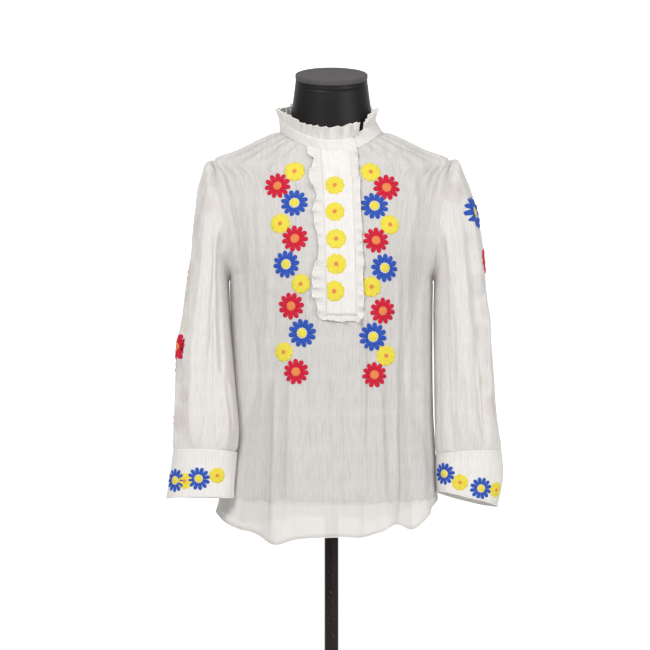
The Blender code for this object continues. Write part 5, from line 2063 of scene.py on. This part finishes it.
class MakeForm(bpy.types.Operator):
    """Makes the covered form and the cap on its neck"""

    bl_idname = "blouse.make_form"
    bl_label = "Dress form"

    def execute(self, context):
        look = settings("form")
        angle = np.arange(FORM_SIDES) * 2 * math.pi / FORM_SIDES
        top = len(FORM_RINGS) - 1
        places = np.concatenate((np.linspace(0, top - 1, 100), np.linspace(top - 1, top, 50)[1:]))
        rings = np.array([form_ring(read_table(FORM_RINGS, place), angle) for place in places])
        from_groove = (places - NECK_GROOVE.place) / NECK_GROOVE.width
        groove = NECK_GROOVE.depth * np.exp(-(from_groove**2))
        middle = rings.mean(axis=1, keepdims=True)
        rings = rings - unit(rings - middle) * groove[:, None, None]
        hard_piece("form", rings, "form_satin", look.form, "form_black", "form_torso")
        top = rings[-1]
        middle = top.mean(axis=0)
        up = unit(np.cross(top[FORM_SIDES // 4] - middle, top[FORM_SIDES // 2] - middle))
        cap = np.array([
            middle + (top - middle) * growth + up * (SEAM + rise) for growth, rise in CAP_PROFILE
        ])
        hard_piece("neck_cap", cap, "cap_plastic", look.cap, "cap_grey", "form_cap")
        return {"FINISHED"}


# Radius and height of the base's corners, from the hub's top to the floor
ON_AXIS, STAND_EDGE, STAND_SIDES = 0.0008, 0.0012, 96
BASE_PROFILE = [
    (ON_AXIS, HUB_HEIGHT),
    (0.0170, HUB_HEIGHT),
    (0.0200, 0.0310),
    (0.0210, 0.0130),
    (0.0260, 0.0105),
    (0.1480, 0.0080),
    (0.1500, 0.0060),
    (0.1500, 0.0000),
    (ON_AXIS, 0.0000),
]


class MakeStand(bpy.types.Operator):
    """Makes the pole and the round base"""

    bl_idname = "blouse.make_stand"
    bl_label = "Pole and base"

    def execute(self, context):
        bottom, top = HUB_HEIGHT + SEAM, FORM_RINGS[0].z_front - SEAM
        pole = [(ON_AXIS, bottom), (POLE_RADIUS, bottom), (POLE_RADIUS, top), (ON_AXIS, top)]
        for name, line in (("pole", pole), ("base", BASE_PROFILE)):
            rings = turned_rings(rounded(line, STAND_EDGE), STAND_SIDES)
            colour = settings("form").stand
            hard_piece(name, rings, "stand_enamel", colour, "stand_black", "stand_" + name)
        return {"FINISHED"}


STAGE_HALF = 9.0
SWEEP_BACK, SWEEP_RADIUS, SWEEP_TOP = 7.5, 2.0, 8.0
GLOW_OVER = (1.1, 2.1)
ROOM_SEEN = 0.96
# Lights: name, place, size and share of the key light's power
LIGHTS = (
    ("key_light", (-1.5, -2.5, 3.1), 1.1, 1.0),
    ("fill_light", (2.4, -2.6, 2.0), 1.6, 0.74),
)
LIT_POINT = (0, 0, 1.05)
CAMERA_PLACE, CAMERA_LENS = (-0.011, -2.8, 1.025), 91.2


class MakeStage(bpy.types.Operator):
    """Makes the floor, backdrop, lights and camera"""

    bl_idname = "blouse.make_stage"
    bl_label = "Stage"

    def execute(self, context):
        stage, scene = settings("stage"), context.scene
        back, radius, half = SWEEP_BACK, SWEEP_RADIUS, STAGE_HALF
        bend = [
            (back - radius + radius * math.sin(a), radius - radius * math.cos(a))
            for a in np.linspace(0, math.pi / 2, 16)
        ]
        line = [(-half, 0.0), *bend, (back, SWEEP_TOP)]
        mesh = bpy.data.meshes.new("floor")
        points = [(x, y, z) for y, z in line for x in (-half, half)]
        faces = [(2 * i, 2 * i + 1, 2 * i + 3, 2 * i + 2) for i in range(len(line) - 1)]
        mesh.from_pydata(points, [], faces)
        mesh.shade_smooth()
        floor = new_object("floor", mesh)
        made, tree, shader = fresh_material("backdrop")
        set_inputs(shader, {"Base Color": (*stage.floor, 1.0), "Roughness": 0.95})
        set_inputs(shader, {"Emission Strength": stage.glow})
        place, split, lit = (
            tree.nodes.new("ShaderNode" + kind) for kind in ("TexCoord", "SeparateXYZ", "MapRange")
        )
        set_inputs(lit, {"From Min": GLOW_OVER[0], "From Max": GLOW_OVER[1]})
        wire(
            tree,
            (place, "Object", split, "Vector"),
            (split, "Y", lit, "Value"),
            (lit, "Result", shader, "Emission Color"),
        )
        mesh.materials.append(made)

        world = bpy.data.worlds.new("room")
        world.use_nodes = True
        sky = world.node_tree
        ray = sky.nodes.new("ShaderNodeLightPath").outputs["Is Camera Ray"]
        seen = ranged(sky, ray, stage.around, ROOM_SEEN)
        sky.nodes["Background"].inputs["Color"].default_value = (1.0, 1.0, 1.0, 1.0)
        sky.links.new(seen, sky.nodes["Background"].inputs["Strength"])
        scene.world = world
        for name, place, size, share in LIGHTS:
            light = bpy.data.lights.new(name, "AREA")
            light.size, light.energy = size, stage.key * share
            lamp = new_object(name, light)
            lamp.location = place
            toward = Vector(LIT_POINT) - lamp.location
            lamp.rotation_euler = toward.to_track_quat("-Z", "Y").to_euler()

        camera = new_object("camera", bpy.data.cameras.new("camera"))
        camera.location = CAMERA_PLACE
        camera.rotation_euler = (math.pi / 2, 0, 0)
        camera.data.sensor_width, camera.data.lens = 36.0, CAMERA_LENS
        scene.camera = camera
        scene.view_settings.view_transform = "Standard"
        return {"FINISHED"}


OPERATORS = (
    MakeForm,
    MakeStand,
    MakePanels,
    MakeSleeves,
    MakeCuffs,
    MakeCollar,
    MakePlacket,
    MakeEmbroidery,
    MakeSewing,
    MakeStage,
)


class BlousePanel(bpy.types.Panel):
    bl_idname = "VIEW3D_PT_blouse"
    bl_label = "Blouse"
    bl_space_type = "VIEW_3D"
    bl_region_type = "UI"
    bl_category = "Blouse"

    def draw(self, context):
        for name, group in SETTINGS.items():
            box = self.layout.box()
            for prop in group.__annotations__:
                box.prop(getattr(context.scene, name), prop)
        for operator in OPERATORS:
            self.layout.operator(operator.bl_idname)


def register():
    for name, group in SETTINGS.items():
        bpy.utils.register_class(group)
        setattr(bpy.types.Scene, name, bpy.props.PointerProperty(type=group))
    for operator in OPERATORS:
        bpy.utils.register_class(operator)
    bpy.utils.register_class(BlousePanel)


def unregister():
    bpy.utils.unregister_class(BlousePanel)
    for operator in reversed(OPERATORS):
        bpy.utils.unregister_class(operator)
    for name, group in SETTINGS.items():
        delattr(bpy.types.Scene, name)
        bpy.utils.unregister_class(group)


def main():
    register()
    for operator in OPERATORS:
        getattr(bpy.ops.blouse, operator.bl_idname.split(".")[1])()


if __name__ == "__main__":
    main()
